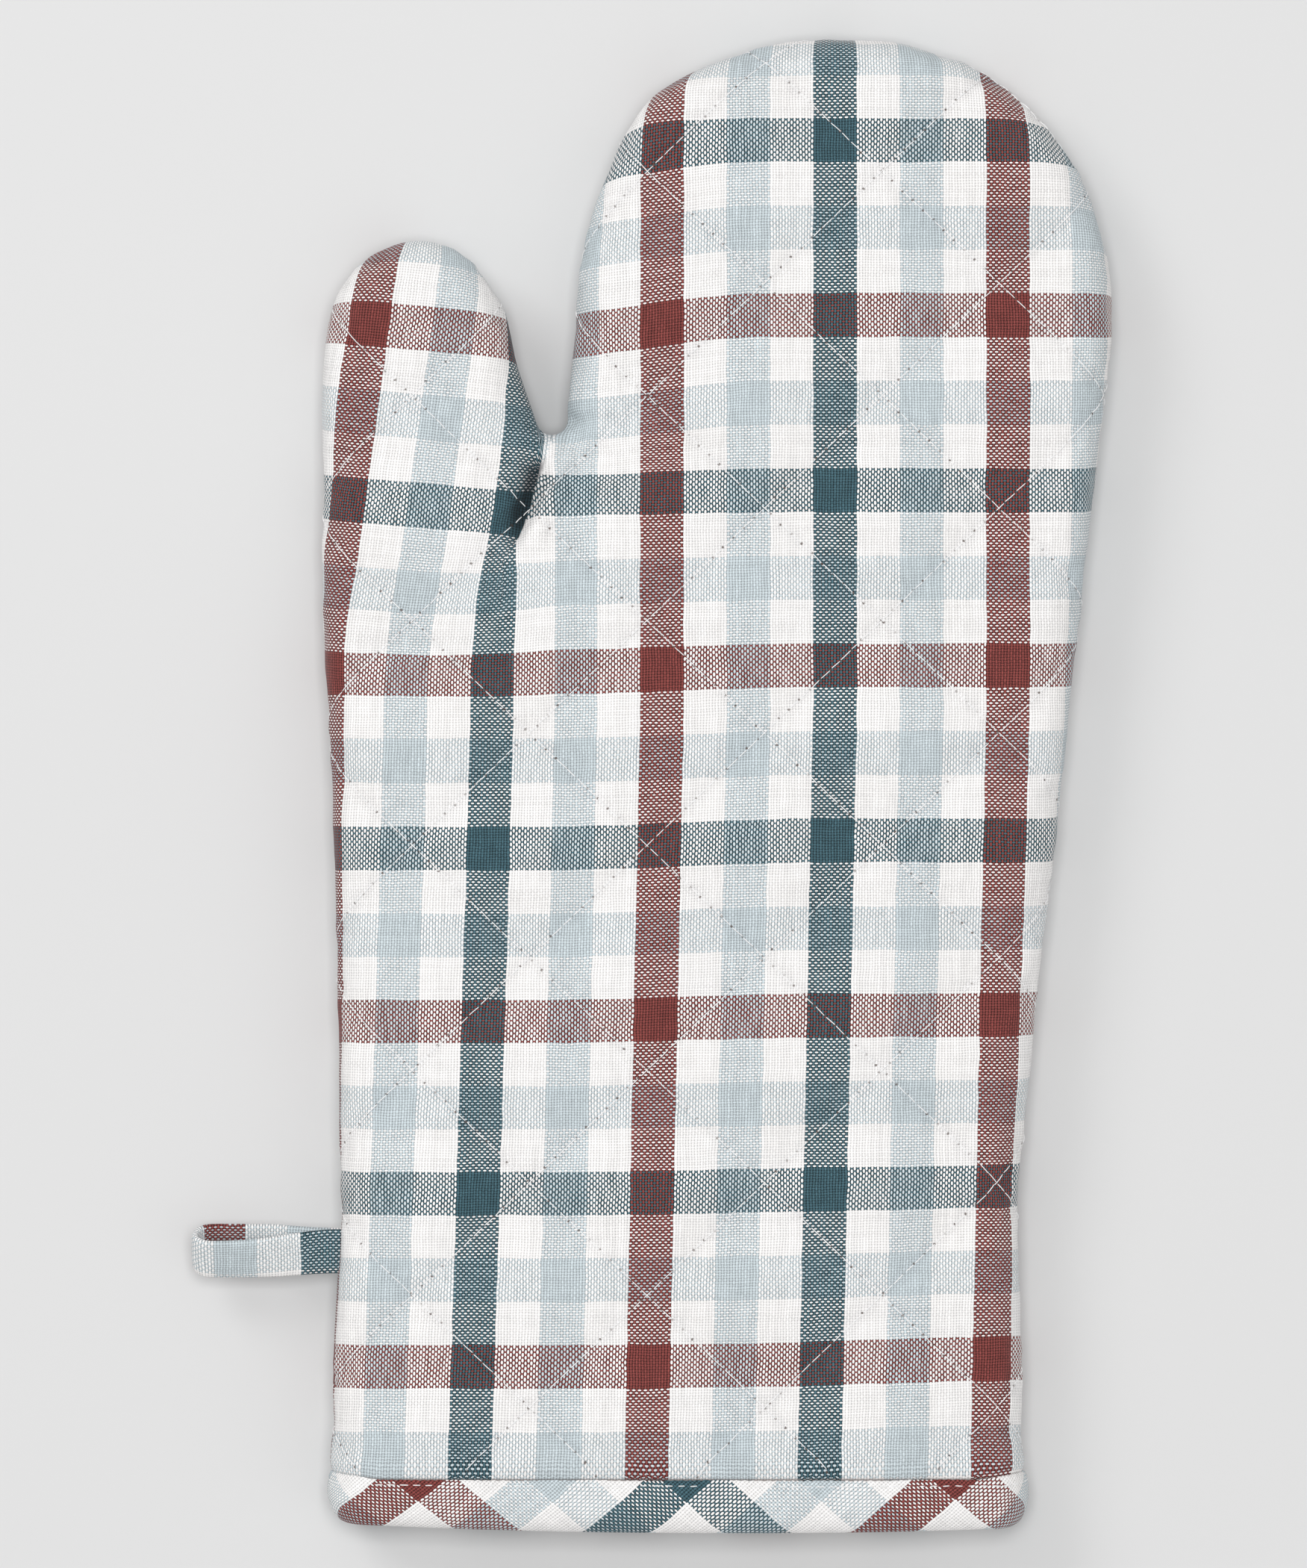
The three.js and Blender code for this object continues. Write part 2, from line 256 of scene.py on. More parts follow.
@dataclass(frozen=True)
class Silhouette:
    """Outline of the mitt seen from above. Lengths start at the middle of the cuff's edge.

    The softening rounds the whole outline except within sharp_fork of the fork. Each row of eased
    is a place in the frame, a reach, and how far the padded edge stands out there.
    """

    cuff_to_crotch: float = 235 * MM
    finger_length: float = 85 * MM
    finger_width: float = 116.5 * MM
    finger_offset: float = 35.5 * MM
    finger_tip_rise: float = 64 * MM
    finger_tip_power: float = 2.2
    cuff_width: float = 150 * MM
    wrist_width: float = 145.5 * MM
    wrist_height: float = 62 * MM
    palm_right: float = 86.5 * MM
    palm_height: float = 195 * MM
    thumb_length: float = 42 * MM
    thumb_width: float = 41.5 * MM
    thumb_tip_stretch: float = 1.2
    thumb_offset: float = -55.5 * MM
    fork_offset: float = -27 * MM
    fork_radius: float = 3 * MM
    softening: float = 2.5 * MM
    spacing: float = 0.4 * MM
    sharp_fork: float = 16 * MM
    eased: tuple[tuple[Pair, float, float], ...] = (
        ((-37 * MM, 104 * MM), 10 * MM, -0.6 * MM),
        ((-1 * MM, 147 * MM), 15 * MM, 2.2 * MM),
        ((-70 * MM, 46 * MM), 34 * MM, 1.5 * MM),
        ((-68 * MM, -128 * MM), 20 * MM, 1.5 * MM),
        ((78 * MM, -122 * MM), 18 * MM, 2.2 * MM),
    )

    @property
    def cuff_middle(self) -> Array:
        """Middle of the cuff's edge in the frame, seen from above."""
        low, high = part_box("cuff_binding")
        return np.array([(low.x + high.x) / 2, low.y])

    @property
    def fork(self) -> Array:
        """Lowest point of the fork between thumb and fingers, in the frame."""
        return self.cuff_middle + [self.fork_offset, self.cuff_to_crotch]

    @staticmethod
    def side(stations: list[Pair]) -> Array:
        """A smooth curve through a few stations."""
        steps = 60
        row = np.array(stations)
        points = []
        for k in range(len(row) - 1):
            before, start, end, after = row[[max(k - 1, 0), k, k + 1, min(k + 2, len(row) - 1)]]
            leave, arrive = (end - before) / 2, (after - start) / 2
            t = np.linspace(0, 1, steps)[:, None]
            points.append(
                (2 * start - 2 * end + leave + arrive) * t**3
                + (-3 * start + 3 * end - 2 * leave - arrive) * t**2
                + leave * t
                + start
            )
        return np.vstack(points)

    @staticmethod
    def pocket_end(middle: float, base: float, half_width: float, rise: float, power: float) -> Array:
        """The rounded end of a pocket, from its right side over the top to its left side."""
        angle = np.linspace(0, math.pi, 181)
        across = np.sign(np.cos(angle)) * np.abs(np.cos(angle)) ** (2 / power)
        up = np.sin(angle).clip(0) ** (2 / power)
        return np.column_stack([middle + half_width * across, base + rise * up])

    def outline(self) -> Array:
        """The outline from the cuff's right corner round to its left corner, softened, in the frame."""
        cuff, wrist = self.cuff_width / 2, self.wrist_width / 2
        pocket_base = self.cuff_to_crotch + self.finger_length - self.finger_tip_rise
        pocket_half = self.finger_width / 2
        thumb_half = self.thumb_width / 2
        thumb_rise = self.thumb_tip_stretch * thumb_half
        thumb_base = self.cuff_to_crotch + self.thumb_length - thumb_rise
        turn = np.linspace(0, -math.pi, 40)
        fork_arc = self.fork_radius * np.column_stack([np.cos(turn), np.sin(turn)])
        rows = [
            self.side([
                (cuff, 0),
                (wrist, self.wrist_height),
                (self.palm_right, self.palm_height),
                (self.finger_offset + pocket_half, pocket_base),
            ]),
            self.pocket_end(
                self.finger_offset, pocket_base, pocket_half, self.finger_tip_rise, self.finger_tip_power
            ),
            fork_arc + [self.fork_offset, self.cuff_to_crotch + self.fork_radius],
            self.pocket_end(self.thumb_offset, thumb_base, thumb_half, thumb_rise, 2),
            self.side([
                (self.thumb_offset - thumb_half, thumb_base),
                (-wrist, self.wrist_height),
                (-cuff, 0),
            ]),
        ]
        row = resample(np.vstack(rows), self.spacing)
        reach = int(3 * self.softening / self.spacing)
        weights = np.exp(-0.5 * (np.arange(-reach, reach + 1) * self.spacing / self.softening) ** 2)
        weights /= weights.sum()
        ends = np.vstack([2 * row[0] - row[reach:0:-1], row, 2 * row[-1] - row[-2 : -reach - 2 : -1]])
        soft = np.column_stack([np.convolve(column, weights, "valid") for column in ends.T])
        near_fork = np.linalg.norm(soft - [self.fork_offset, self.cuff_to_crotch], axis=1)
        keep = ease(near_fork / self.sharp_fork)[:, None]
        return self.cuff_middle + soft * keep + row * (1 - keep)


@dataclass(frozen=True)
class Section:
    """The mitt's rounded cross-section: flat panels whose edges curve down to the side seam."""

    thickness: float
    edge_round: float = 8 * MM
    crown: float = 1.8 * MM
    crown_reach: float = 16 * MM
    seam_groove: float = 0.5 * MM
    seam_reach: float = 1.5 * MM

    @property
    def half(self) -> float:
        """Half the thickness."""
        return self.thickness / 2

    def arc(self) -> tuple[Array, Array]:
        """Distance along the curved edge from the seam, and the angle reached there."""
        angle = np.linspace(0, math.pi / 2, 400)
        points = np.column_stack([-self.edge_round * np.cos(angle), self.half * np.sin(angle)])
        return row_lengths(points), angle


@dataclass(frozen=True)
class Quilting:
    """Two families of straight rows of stitches that cross in diamonds, in the panel's flat pattern."""

    origin: Pair = (-1.4 * MM, 82.9 * MM)
    half_width: float = 25.1 * MM
    half_height: float = 24 * MM
    stitch_pitch: float = 3.05 * MM
    groove: float = 1.35 * MM
    groove_reach: float = 3.4 * MM

    @property
    def side(self) -> float:
        """Length of a diamond's side."""
        return math.hypot(self.half_width, self.half_height)

    @property
    def row_spacing(self) -> float:
        """Distance between neighbouring rows of one family."""
        return 2 * self.half_width * self.half_height / self.side

    def counts(self, flat: Array) -> Array:
        """How many diamonds along each family a flat place is from the origin."""
        across = (flat[..., 0] - self.origin[0]) / self.half_width
        up = (flat[..., 1] - self.origin[1]) / self.half_height
        return np.stack([(up + across) / 2, (up - across) / 2], axis=-1)

    def place(self, counts: Array) -> Array:
        """The flat place of a pair of counts."""
        across = counts[..., 0] - counts[..., 1]
        up = counts[..., 0] + counts[..., 1]
        return np.stack(
            [self.origin[0] + across * self.half_width, self.origin[1] + up * self.half_height], axis=-1
        )

    def distance(self, flat: Array) -> Array:
        """Distance of a flat place from the nearest row."""
        counts = self.counts(flat)
        return (np.abs(counts - np.round(counts)) * self.row_spacing).min(axis=-1)


@dataclass(frozen=True)
class Folds:
    """Where the mitt's pieces part between the hand and the thumb."""

    outline: Silhouette
    thumb_angle: float = math.radians(20)
    thumb_split: float = -6 * MM
    thumb_root: float = 26 * MM

    @property
    def thumb_way(self) -> Array:
        """Unit direction along the thumb, square to its fold."""
        return np.array([-math.sin(self.thumb_angle), math.cos(self.thumb_angle)])

    def along_thumb(self, flat: Array) -> Array:
        """Distance beyond the thumb's fold line through the fork."""
        return (flat[..., :2] - self.outline.fork) @ self.thumb_way

    def is_thumb(self, flat: Array) -> Array:
        """Whether a place belongs to the thumb's pieces."""
        return (flat[..., 0] < self.outline.fork[0]) & (self.along_thumb(flat) > self.thumb_split)

    def bend(self, piece: Object, region: Region) -> None:
        """Bake a piece's placement into its mesh; it does not bend.

        Args:
            piece: the finished piece.
            region: the stretch of the mitt that it covers.
        """
        if region is Region.HAND:
            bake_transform(piece)
            return
        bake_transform(piece)


@dataclass(frozen=True)
class Crotch:
    """The deep fold that runs from the fork down into the palm, where the thumb is drawn in."""

    outline: Silhouette
    middle_turn: Pair = (-2.4 * MM, -13.0 * MM)
    end: Pair = (-10.4 * MM, -28.0 * MM)
    depth: float = 4.0 * MM
    thumb_reach: float = 3.8 * MM
    palm_reach: float = 1.2 * MM
    palm_swell: float = 1.5 * MM
    swell_off: float = 3.4 * MM
    swell_reach: float = 2.4 * MM

    def line(self) -> Array:
        """The fold's line from the fork downwards, as a row of places."""
        t = np.linspace(0, 1, 60)[:, None]
        turn, end = np.array(self.middle_turn), np.array(self.end)
        return self.outline.fork + 2 * t * (1 - t) * turn + t * t * end

    def across(self, flat: Array) -> tuple[Array, Array]:
        """Where places lie from the fold.

        Args:
            flat: N by 2 places in the flat pattern.

        Returns:
            How far along the fold the nearest point is, from 0 to 1, and the distance from it,
            more than 0 on the palm's side.
        """
        line = self.line()
        gaps = np.linalg.norm(flat[:, None, :2] - line[None], axis=2)
        nearest = gaps.argmin(axis=1)
        palm = flat[:, 0] > np.interp(flat[:, 1], line[::-1, 1], line[::-1, 0])
        return nearest / (len(line) - 1), gaps.min(axis=1) * np.where(palm, 1, -1)

    def press(self, flat: Array, widening: float = 1.0) -> Array:
        """How far the fold presses each place in; less than 0 where it swells.

        Args:
            flat: N by 2 places in the flat pattern.
            widening: how much wider than on the cover the fold is.

        Returns:
            One depth for each place.
        """
        along, off = self.across(flat)
        strength = ease((along - 0.04) / 0.36) * (1 - ease((along - 0.6) / 0.4))
        reach = np.where(off > 0, self.palm_reach, self.thumb_reach) * widening
        bank = fade(off - self.swell_off, self.swell_reach) * (off > 0)
        return strength * (self.depth * fade(off, reach) - self.palm_swell * bank)


@dataclass(frozen=True)
class Drift:
    """How the woven cloth lies on the panel: it leans low down, sags, and turns with the thumb.

    Places and the ends of each stretch are in the frame. Low down the stripes lean by lean, and by
    lean_left more near the thumb's side. The cloth hangs lower by droop beside the fork and by sag
    across the palm, and higher by corner_rise at the cuff's far corner. On the thumb it is turned by
    thumb_lean and thumb_tilt, as slopes, about thumb_pivot.
    """

    crotch: Crotch
    lean_start: float = 15 * MM
    lean_length: float = 150 * MM
    lean: float = 3.1 * MM
    lean_left: float = 1.5 * MM
    left_gather: float = 0.8 * MM
    thumb_lean: float = 0.135
    thumb_tilt: float = 0.085
    thumb_pivot: Pair = (-62 * MM, 14 * MM)
    thumb_shift: float = 1.1 * MM
    thumb_sink: float = 1.5 * MM
    droop: float = 3.8 * MM
    sag: float = 1.7 * MM
    corner_rise: float = 1.5 * MM

    def weave(self, flat: Array) -> dict[str, Array]:
        """Where on the cloth a place of the flat pattern was cut from.

        The fold at the crotch hides some of the cloth, so each side of it has its own map.

        Args:
            flat: N by 2 places in the flat pattern.

        Returns:
            UV maps by name: places along the weft and the warp on the palm's side of the fold and
            on the thumb's, and how far each place is on the thumb's side with how deep it lies.
        """
        x, y = flat[:, 0], flat[:, 1]
        fork = self.crotch.outline.fork
        left = ease((-12 * MM - x) / (25 * MM))
        down = np.clip((self.lean_start - y) / self.lean_length, 0, 1.2)
        sideways = (self.lean + self.lean_left * left) * down - self.left_gather * left
        beside_fork = ease((45 * MM - (x - fork[0])) / (45 * MM)) * (x > fork[0] - 2 * MM)
        beside_fork *= ease((y - 60 * MM) / (20 * MM)) * (1 - ease((y - 130 * MM) / (20 * MM)))
        across_palm = ease((35 * MM - x) / (60 * MM)) * fade(y + 10 * MM, 75 * MM)
        far_corner = fade(x - 75 * MM, 40 * MM) * fade(y + 120 * MM, 45 * MM)
        lower = self.droop * beside_fork + self.sag * across_palm - self.corner_rise * far_corner
        woven = np.column_stack([x + sideways, y + lower])
        turned = np.column_stack([
            (y - self.thumb_pivot[1]) * self.thumb_lean - self.thumb_shift,
            (self.thumb_pivot[0] - x) * self.thumb_tilt - self.thumb_sink,
        ])
        line = self.crotch.line()
        edge = np.interp(y, line[::-1, 1], line[::-1, 0])
        below = ease((line[-1, 1] + 12 * MM - y) / (24 * MM))
        spread = ease((edge - x) / (34 * MM) + 0.5)
        raised = ease((y - 6 * MM) / (48 * MM))
        palm = (below * spread * raised)[:, None]
        thumb = ((1 + (spread - 1) * below) * raised)[:, None]
        return {
            "Weave": woven - turned * palm,
            "Thumb weave": woven - turned * thumb,
            "Fold": np.column_stack([edge - x, self.crotch.press(flat).clip(0) / self.crotch.depth]),
        }


class PanelGrid:
    """One panel's net: rings round the curved edge, and a net inside that follows the quilting.

    Attributes:
        faces: quads and triangles of vertex numbers, anticlockwise from the front.
        flat: each vertex's place in the flat pattern.
        sewn: whether each vertex is held by the quilting, the side seam or the cuff.
    """

    def __init__(
        self, outline: Silhouette, section: Section, quilting: Quilting, splits: int, margin: float
    ) -> None:
        """Lay out the net.

        Args:
            outline: the mitt's silhouette.
            section: its cross-section.
            quilting: the rows that the net follows.
            splits: how many net squares make one diamond's side.
            margin: how far the net starts above the cuff's edge.
        """
        self.section = section
        self.quilting = quilting
        self.spacing = quilting.side / splits
        self.row = self._edge_row(outline, margin)
        self.length, self.angle = section.arc()
        self.rings = round(self.length[-1] / self.spacing) + 1
        self._lay_rings(outline)
        self._fill(splits)

    def _edge_row(self, outline: Silhouette, margin: float) -> Array:
        """The outline's points and outward directions, as one row of x, y, nx, ny."""
        points = outline.outline()
        points = points[points[:, 1] > outline.cuff_middle[1] + margin]
        along = unit(np.gradient(points, axis=0))
        outward = np.column_stack([along[:, 1], -along[:, 0]])
        level = ease((points[:, 1] - points[0, 1]) / (25 * MM))[:, None]
        straight = np.column_stack([np.sign(outward[:, 0]), np.zeros(len(points))])
        outward = unit(outward * level + straight * (1 - level))
        wave = fabric_noise(points, 26 * MM, 1.0) * 0.5 * MM
        wave += fabric_noise(points, 9 * MM, 2.0) * 0.35 * MM
        for (x, y), reach, shift in outline.eased:
            wave += shift * fade(np.linalg.norm(points - [x, y], axis=1), reach)
        return np.column_stack([points + outward * (wave * level[:, 0])[:, None], outward])

    def _edge_place(self, station: Array) -> Array:
        """Rows of x, y, nx, ny at distances along the middle of the curved edge."""
        return np.column_stack([np.interp(station, self.stations, column) for column in self.row.T])

    def _lay_rings(self, outline: Silhouette) -> None:
        """Place the rings, and slide their vertices onto the quilting rows that cross them."""
        middle = self.row[:, :2] - self.row[:, 2:] * self.section.edge_round / 2
        self.stations = row_lengths(middle)
        count = round(self.stations[-1] / self.spacing) + 1
        steps = np.linspace(0, self.stations[-1], count)
        self.count = count
        self.fork = outline.fork
        distance = np.linspace(0, self.length[-1], self.rings)
        self.ring_angle = np.interp(distance, self.length, self.angle)
        rows, flats, sewn = [], [], []
        for reached, angle in zip(distance, self.ring_angle):
            station = steps.copy()
            held = np.zeros(count, bool)
            counts = self.quilting.counts(self._flat_at(station, reached, angle))
            for family in range(2):
                a, b = counts[:-1, family], counts[1:, family]
                for i in np.nonzero(np.floor(a) != np.floor(b))[0]:
                    share = (max(math.floor(a[i]), math.floor(b[i])) - a[i]) / (b[i] - a[i])
                    j = i if share < 0.5 else i + 1
                    if 0 < j < count - 1 and not held[j]:
                        station[j] = steps[i] + share * (steps[i + 1] - steps[i])
                        held[j] = True
            rows.append(self._edge_place(station))
            flats.append(self._flat_at(station, reached, angle))
            sewn.append(held)
        self.edge = np.vstack(rows)
        self.edge_angle = np.repeat(self.ring_angle, count)
        self.flat = np.vstack(flats)
        self.sewn = np.concatenate(sewn)

    def _flat_at(self, station: Array, reached: float, angle: float) -> Array:
        """Flat-pattern places on one ring."""
        edge = self._edge_place(station)
        inset = self.section.edge_round * (1 - math.cos(angle))
        spare = (self.length[-1] - reached) - (self.section.edge_round - inset)
        near_fork = np.linalg.norm(edge[:, :2] - self.fork, axis=1)
        give = 0.25 + 0.35 * ease((near_fork - 3 * MM) / (18 * MM))
        return edge[:, :2] + edge[:, 2:] * (give * spare - inset)[:, None]

    def _fill(self, splits: int) -> None:
        """Fill the flat middle with a net whose squares line up with the quilting."""
        n, rings = self.count, self.rings
        start = (rings - 1) * n
        right, left = self.flat[start], self.flat[start + n - 1]
        cuff = np.linspace(left, right, max(3, round(abs(right[0] - left[0]) / self.spacing)))[1:-1]
        border = np.vstack([self.flat[start : start + n], cuff])
        tree = self._tree(border)
        low, high = border.min(axis=0), border.max(axis=0)
        corners = self.quilting.counts(np.array([low, high, [low[0], high[1]], [high[0], low[1]]]))
        reach = np.arange(math.floor(corners.min() * splits), math.ceil(corners.max() * splits) + 1)
        net = np.stack(np.meshgrid(reach, reach), axis=-1).reshape(-1, 2)
        places = self.quilting.place(net / splits)
        inside = np.all((places > low) & (places < high), axis=1)
        net, places = net[inside], places[inside]
        clear = [tree.find((*point, 0))[2] > 0.55 * self.spacing for point in places]
        net, places = net[clear], places[clear]
        everything = np.vstack([border, places])
        m = len(border)
        rim = [(i, (i + 1) % m) for i in range(m)]
        _, _, triangles, origins, *_ = delaunay_2d_cdt(
            [Vector(p) for p in everything], rim, [list(range(m))], 1, 1e-9
        )
        added = sorted({origin[0] for origin in origins if origin and origin[0] >= n})
        number = {k: rings * n + i for i, k in enumerate(added)} | {k: start + k for k in range(n)}
        extra = everything[added]
        on_row = [k < m or bool(np.any(net[k - m] % splits == 0)) for k in added]
        quads = [
            (k * n + i, k * n + i + 1, (k + 1) * n + i + 1, (k + 1) * n + i)
            for k in range(rings - 1)
            for i in range(n - 1)
        ]
        self.flat = np.vstack([self.flat, extra])
        self.sewn = np.concatenate([self.sewn, on_row])
        self.sewn[:n] = True
        self.sewn[[k * n for k in range(rings)]] = True
        self.sewn[[k * n + n - 1 for k in range(rings)]] = True
        self.inner_from = rings * n
        edge = self._tree(self.flat[start : start + n])
        self.inner_distance = np.array([edge.find((*p, 0))[2] for p in extra])
        self.faces = quads + self._paired([[number[origins[i][0]] for i in t] for t in triangles])

    @staticmethod
    def _tree(points: Array) -> KDTree:
        """A search tree of flat points."""
        tree = KDTree(len(points))
        for i, point in enumerate(points):
            tree.insert((*point, 0), i)
        tree.balance()
        return tree

    def _paired(self, triangles: list[list[int]]) -> list[tuple[int, ...]]:
        """The triangles with neighbours joined into squares where they make good ones."""
        net = bmesh.new()
        used = sorted({i for t in triangles for i in t})
        verts = {i: net.verts.new((*self.flat[i], 0)) for i in used}
        back = {v: i for i, v in verts.items()}
        for t in triangles:
            net.faces.new([verts[i] for i in t])
        net.normal_update()
        bmesh.ops.reverse_faces(net, faces=[f for f in net.faces if f.normal.z < 0])
        bmesh.ops.join_triangles(
            net, faces=net.faces[:], angle_face_threshold=math.pi, angle_shape_threshold=math.radians(25)
        )
        faces = [tuple(back[v] for v in f.verts) for f in net.faces]
        net.free()
        return faces

    def surface(self, depth: Array | float, seam: float, groove: float) -> Array:
        """The front panel's skin at a depth below its face.

        Args:
            depth: one depth, or one for each vertex.
            seam: height above the middle at which the skin reaches the side seam.
            groove: how far the seam is drawn in.

        Returns:
            One place for each vertex, with z measured from the middle of the mitt.
        """
        section = self.section
        depth = np.broadcast_to(depth, len(self.flat)).astype(float)
        place = np.zeros((len(self.flat), 3))
        ring = slice(0, self.inner_from)
        angle = self.edge_angle
        round_off = section.edge_round - (section.edge_round - depth[ring]) * np.cos(angle)
        along = np.interp(angle, self.angle, self.length)
        round_off = round_off + groove * fade(along, section.seam_reach)
        place[ring, :2] = self.edge[:, :2] - self.edge[:, 2:] * round_off[:, None]
        top = section.half - depth[ring] - seam - section.crown
        place[ring, 2] = seam + top * np.sin(angle)
        inner = slice(self.inner_from, None)
        place[inner, :2] = self.flat[inner]
        sink = section.crown * fade(self.inner_distance, section.crown_reach)
        place[inner, 2] = section.half - depth[inner] - sink
        return place


# Node trees


class Graph:
    """A node tree with short ways to add and link its nodes."""

    def __init__(self, tree: NodeTree) -> None:
        """Hold the tree."""
        self.tree = tree

    def node(self, kind: str, inputs: dict | None = None, **settings: object) -> Node:
        """Add a node.

        Args:
            kind: the node's type name.
            inputs: values or sockets by input name or number.
            settings: the node's own properties.

        Returns:
            The new node.
        """
        made = self.tree.nodes.new(kind)
        for key, value in settings.items():
            setattr(made, key, value)
        for key, value in (inputs or {}).items():
            self.feed(made.inputs[key], value)
        return made

    def feed(self, socket: NodeSocket, value: object) -> None:
        """Link a socket into an input, or set its value."""
        if isinstance(value, NodeSocket):
            self.tree.links.new(value, socket)
        elif isinstance(value, (tuple, list)) and len(value) == 3 and socket.type == "RGBA":
            socket.default_value = (*value, 1)
        else:
            socket.default_value = value

    def math(self, operation: str, *values: object) -> NodeSocket:
        """A Math node's result."""
        made = self.node("ShaderNodeMath", operation=operation)
        for socket, value in zip(made.inputs, values):
            self.feed(socket, value)
        return made.outputs[0]

    def mix(self, factor: object, first: object, second: object, blend: str = "MIX") -> NodeSocket:
        """A mix of two colours."""
        made = self.node("ShaderNodeMix", data_type="RGBA", blend_type=blend)
        for socket, value in zip((made.inputs[0], made.inputs[6], made.inputs[7]), (factor, first, second)):
            self.feed(socket, value)
        return made.outputs[2]

    def lerp(self, factor: object, first: object, second: object) -> NodeSocket:
        """A mix of two numbers."""
        made = self.node("ShaderNodeMix", data_type="FLOAT")
        for socket, value in zip((made.inputs[0], made.inputs[2], made.inputs[3]), (factor, first, second)):
            self.feed(socket, value)
        return made.outputs[0]

    def step(self, value: object, low: object, high: object, out: tuple = (0, 1)) -> NodeSocket:
        """A smooth step from out[0] at low to out[1] at high."""
        made = self.node("ShaderNodeMapRange", interpolation_type="SMOOTHSTEP")
        for socket, given in zip(made.inputs, (value, low, high, *out)):
            self.feed(socket, given)
        return made.outputs[0]

    def split(self, vector: NodeSocket) -> tuple[NodeSocket, ...]:
        """A vector's x, y and z."""
        return tuple(self.node("ShaderNodeSeparateXYZ", {0: vector}).outputs)

    def grey(self, value: NodeSocket) -> NodeSocket:
        """A number as a grey colour."""
        return self.node("ShaderNodeCombineColor", {0: value, 1: value, 2: value}).outputs[0]

    def grain(self, place: object, scale: float, detail: float) -> NodeSocket:
        """Fine noise from 0 to 1, with scale bumps to the metre."""
        inputs = {"Vector": place, "Scale": scale, "Detail": detail}
        return self.node("ShaderNodeTexNoise", inputs).outputs["Fac"]

    def map(self, title: str) -> NodeSocket:
        """A piece's own UV map."""
        return self.node("ShaderNodeUVMap", uv_map=title).outputs[0]

    def vector(self, operation: str, first: object, second: object) -> NodeSocket:
        """A Vector Math node's result."""
        key = "Scale" if operation == "SCALE" else 1
        inputs = {0: first, key: second}
        return self.node("ShaderNodeVectorMath", inputs, operation=operation).outputs[0]


class ShaderGroup:
    """A shader node group with named inputs and outputs, built once."""

    def __init__(self, name: str, inputs: dict[str, tuple[str, object]], outputs: dict[str, str]) -> None:
        """Make the group's sockets.

        Args:
            name: the group's name.
            inputs: socket type and default by name.
            outputs: socket type by name.
        """
        self.tree = bpy.data.node_groups.new(name, "ShaderNodeTree")
        for title, (kind, default) in inputs.items():
            socket = self.tree.interface.new_socket(title, in_out="INPUT", socket_type=kind)
            if default is not None:
                socket.default_value = default
        for title, kind in outputs.items():
            self.tree.interface.new_socket(title, in_out="OUTPUT", socket_type=kind)
        self.graph = Graph(self.tree)
        self.given = self.graph.node("NodeGroupInput").outputs
        self.result = self.graph.node("NodeGroupOutput").inputs

    def place(self, graph: Graph, inputs: dict) -> bpy.types.bpy_prop_collection:
        """Put the group in a material and return its outputs."""
        made = graph.node("ShaderNodeGroup", node_tree=self.tree)
        for key, value in inputs.items():
            graph.feed(made.inputs[key], value)
        return made.outputs


def linear(red: int, green: int, blue: int) -> Colour:
    """A display colour as linear light."""
    shares = np.array([red, green, blue]) / 255
    curve = ((shares + 0.055) / 1.055) ** 2.4
    return tuple(float(c) for c in np.where(shares <= 0.04045, shares / 12.92, curve))


@dataclass(frozen=True)
class Yarns:
    """Colours of the plaid's dyed yarns."""

    white: Colour = linear(253, 251, 250)
    sky: Colour = linear(212, 223, 228)
    teal: Colour = linear(72, 106, 117)
    russet: Colour = linear(142, 71, 67)

    def order(self) -> list[Colour]:
        """The stripes' colours, in the order in which they repeat."""
        return [self.russet, self.white, self.sky, self.white, self.teal, self.white, self.sky, self.white]


@dataclass(frozen=True)
class Weave:
    """A plain weave: its threads' spacing, and how much of each crossing a thread covers.

    Covers, edges and swells are in shares of a thread's spacing. Noise scales are in bumps to the
    metre. The other values are shares by which painted shade darkens the colour and painted highlight
    lightens it.
    """

    warp_pitch: float = 0.616 * MM
    weft_pitch: float = 0.584 * MM
    warp_per_stripe: int = 15
    weft_per_stripe: int = 16
    warp_start: float = (1.8 - 4.62) * MM
    weft_start: float = (25.3 - 4.67) * MM
    warp_cover: Pair = (0.385, 0.80)
    weft_cover: Pair = (0.60, 0.315)
    dark_spread: float = 0.08
    wander: float = 0.9
    wander_scale: float = 160.0
    streak: float = 0.18
    streak_scale: float = 1100.0
    over_edge: float = 0.1
    gap_edge: float = 0.15
    hole_edge: float = 1.1
    hole_dark: float = 0.42
    slub_scale: float = 2600.0
    slub_shades: Pair = (0.90, 1.06)
    slub_relief: float = 0.25
    crest_light: float = 0.14
    crest_base: float = 0.90
    valley_dark: float = 0.62
    valley_power: float = 0.7
    # fuzz sets a painted highlight on the crests of dark threads.
    fuzz: float = 0.3


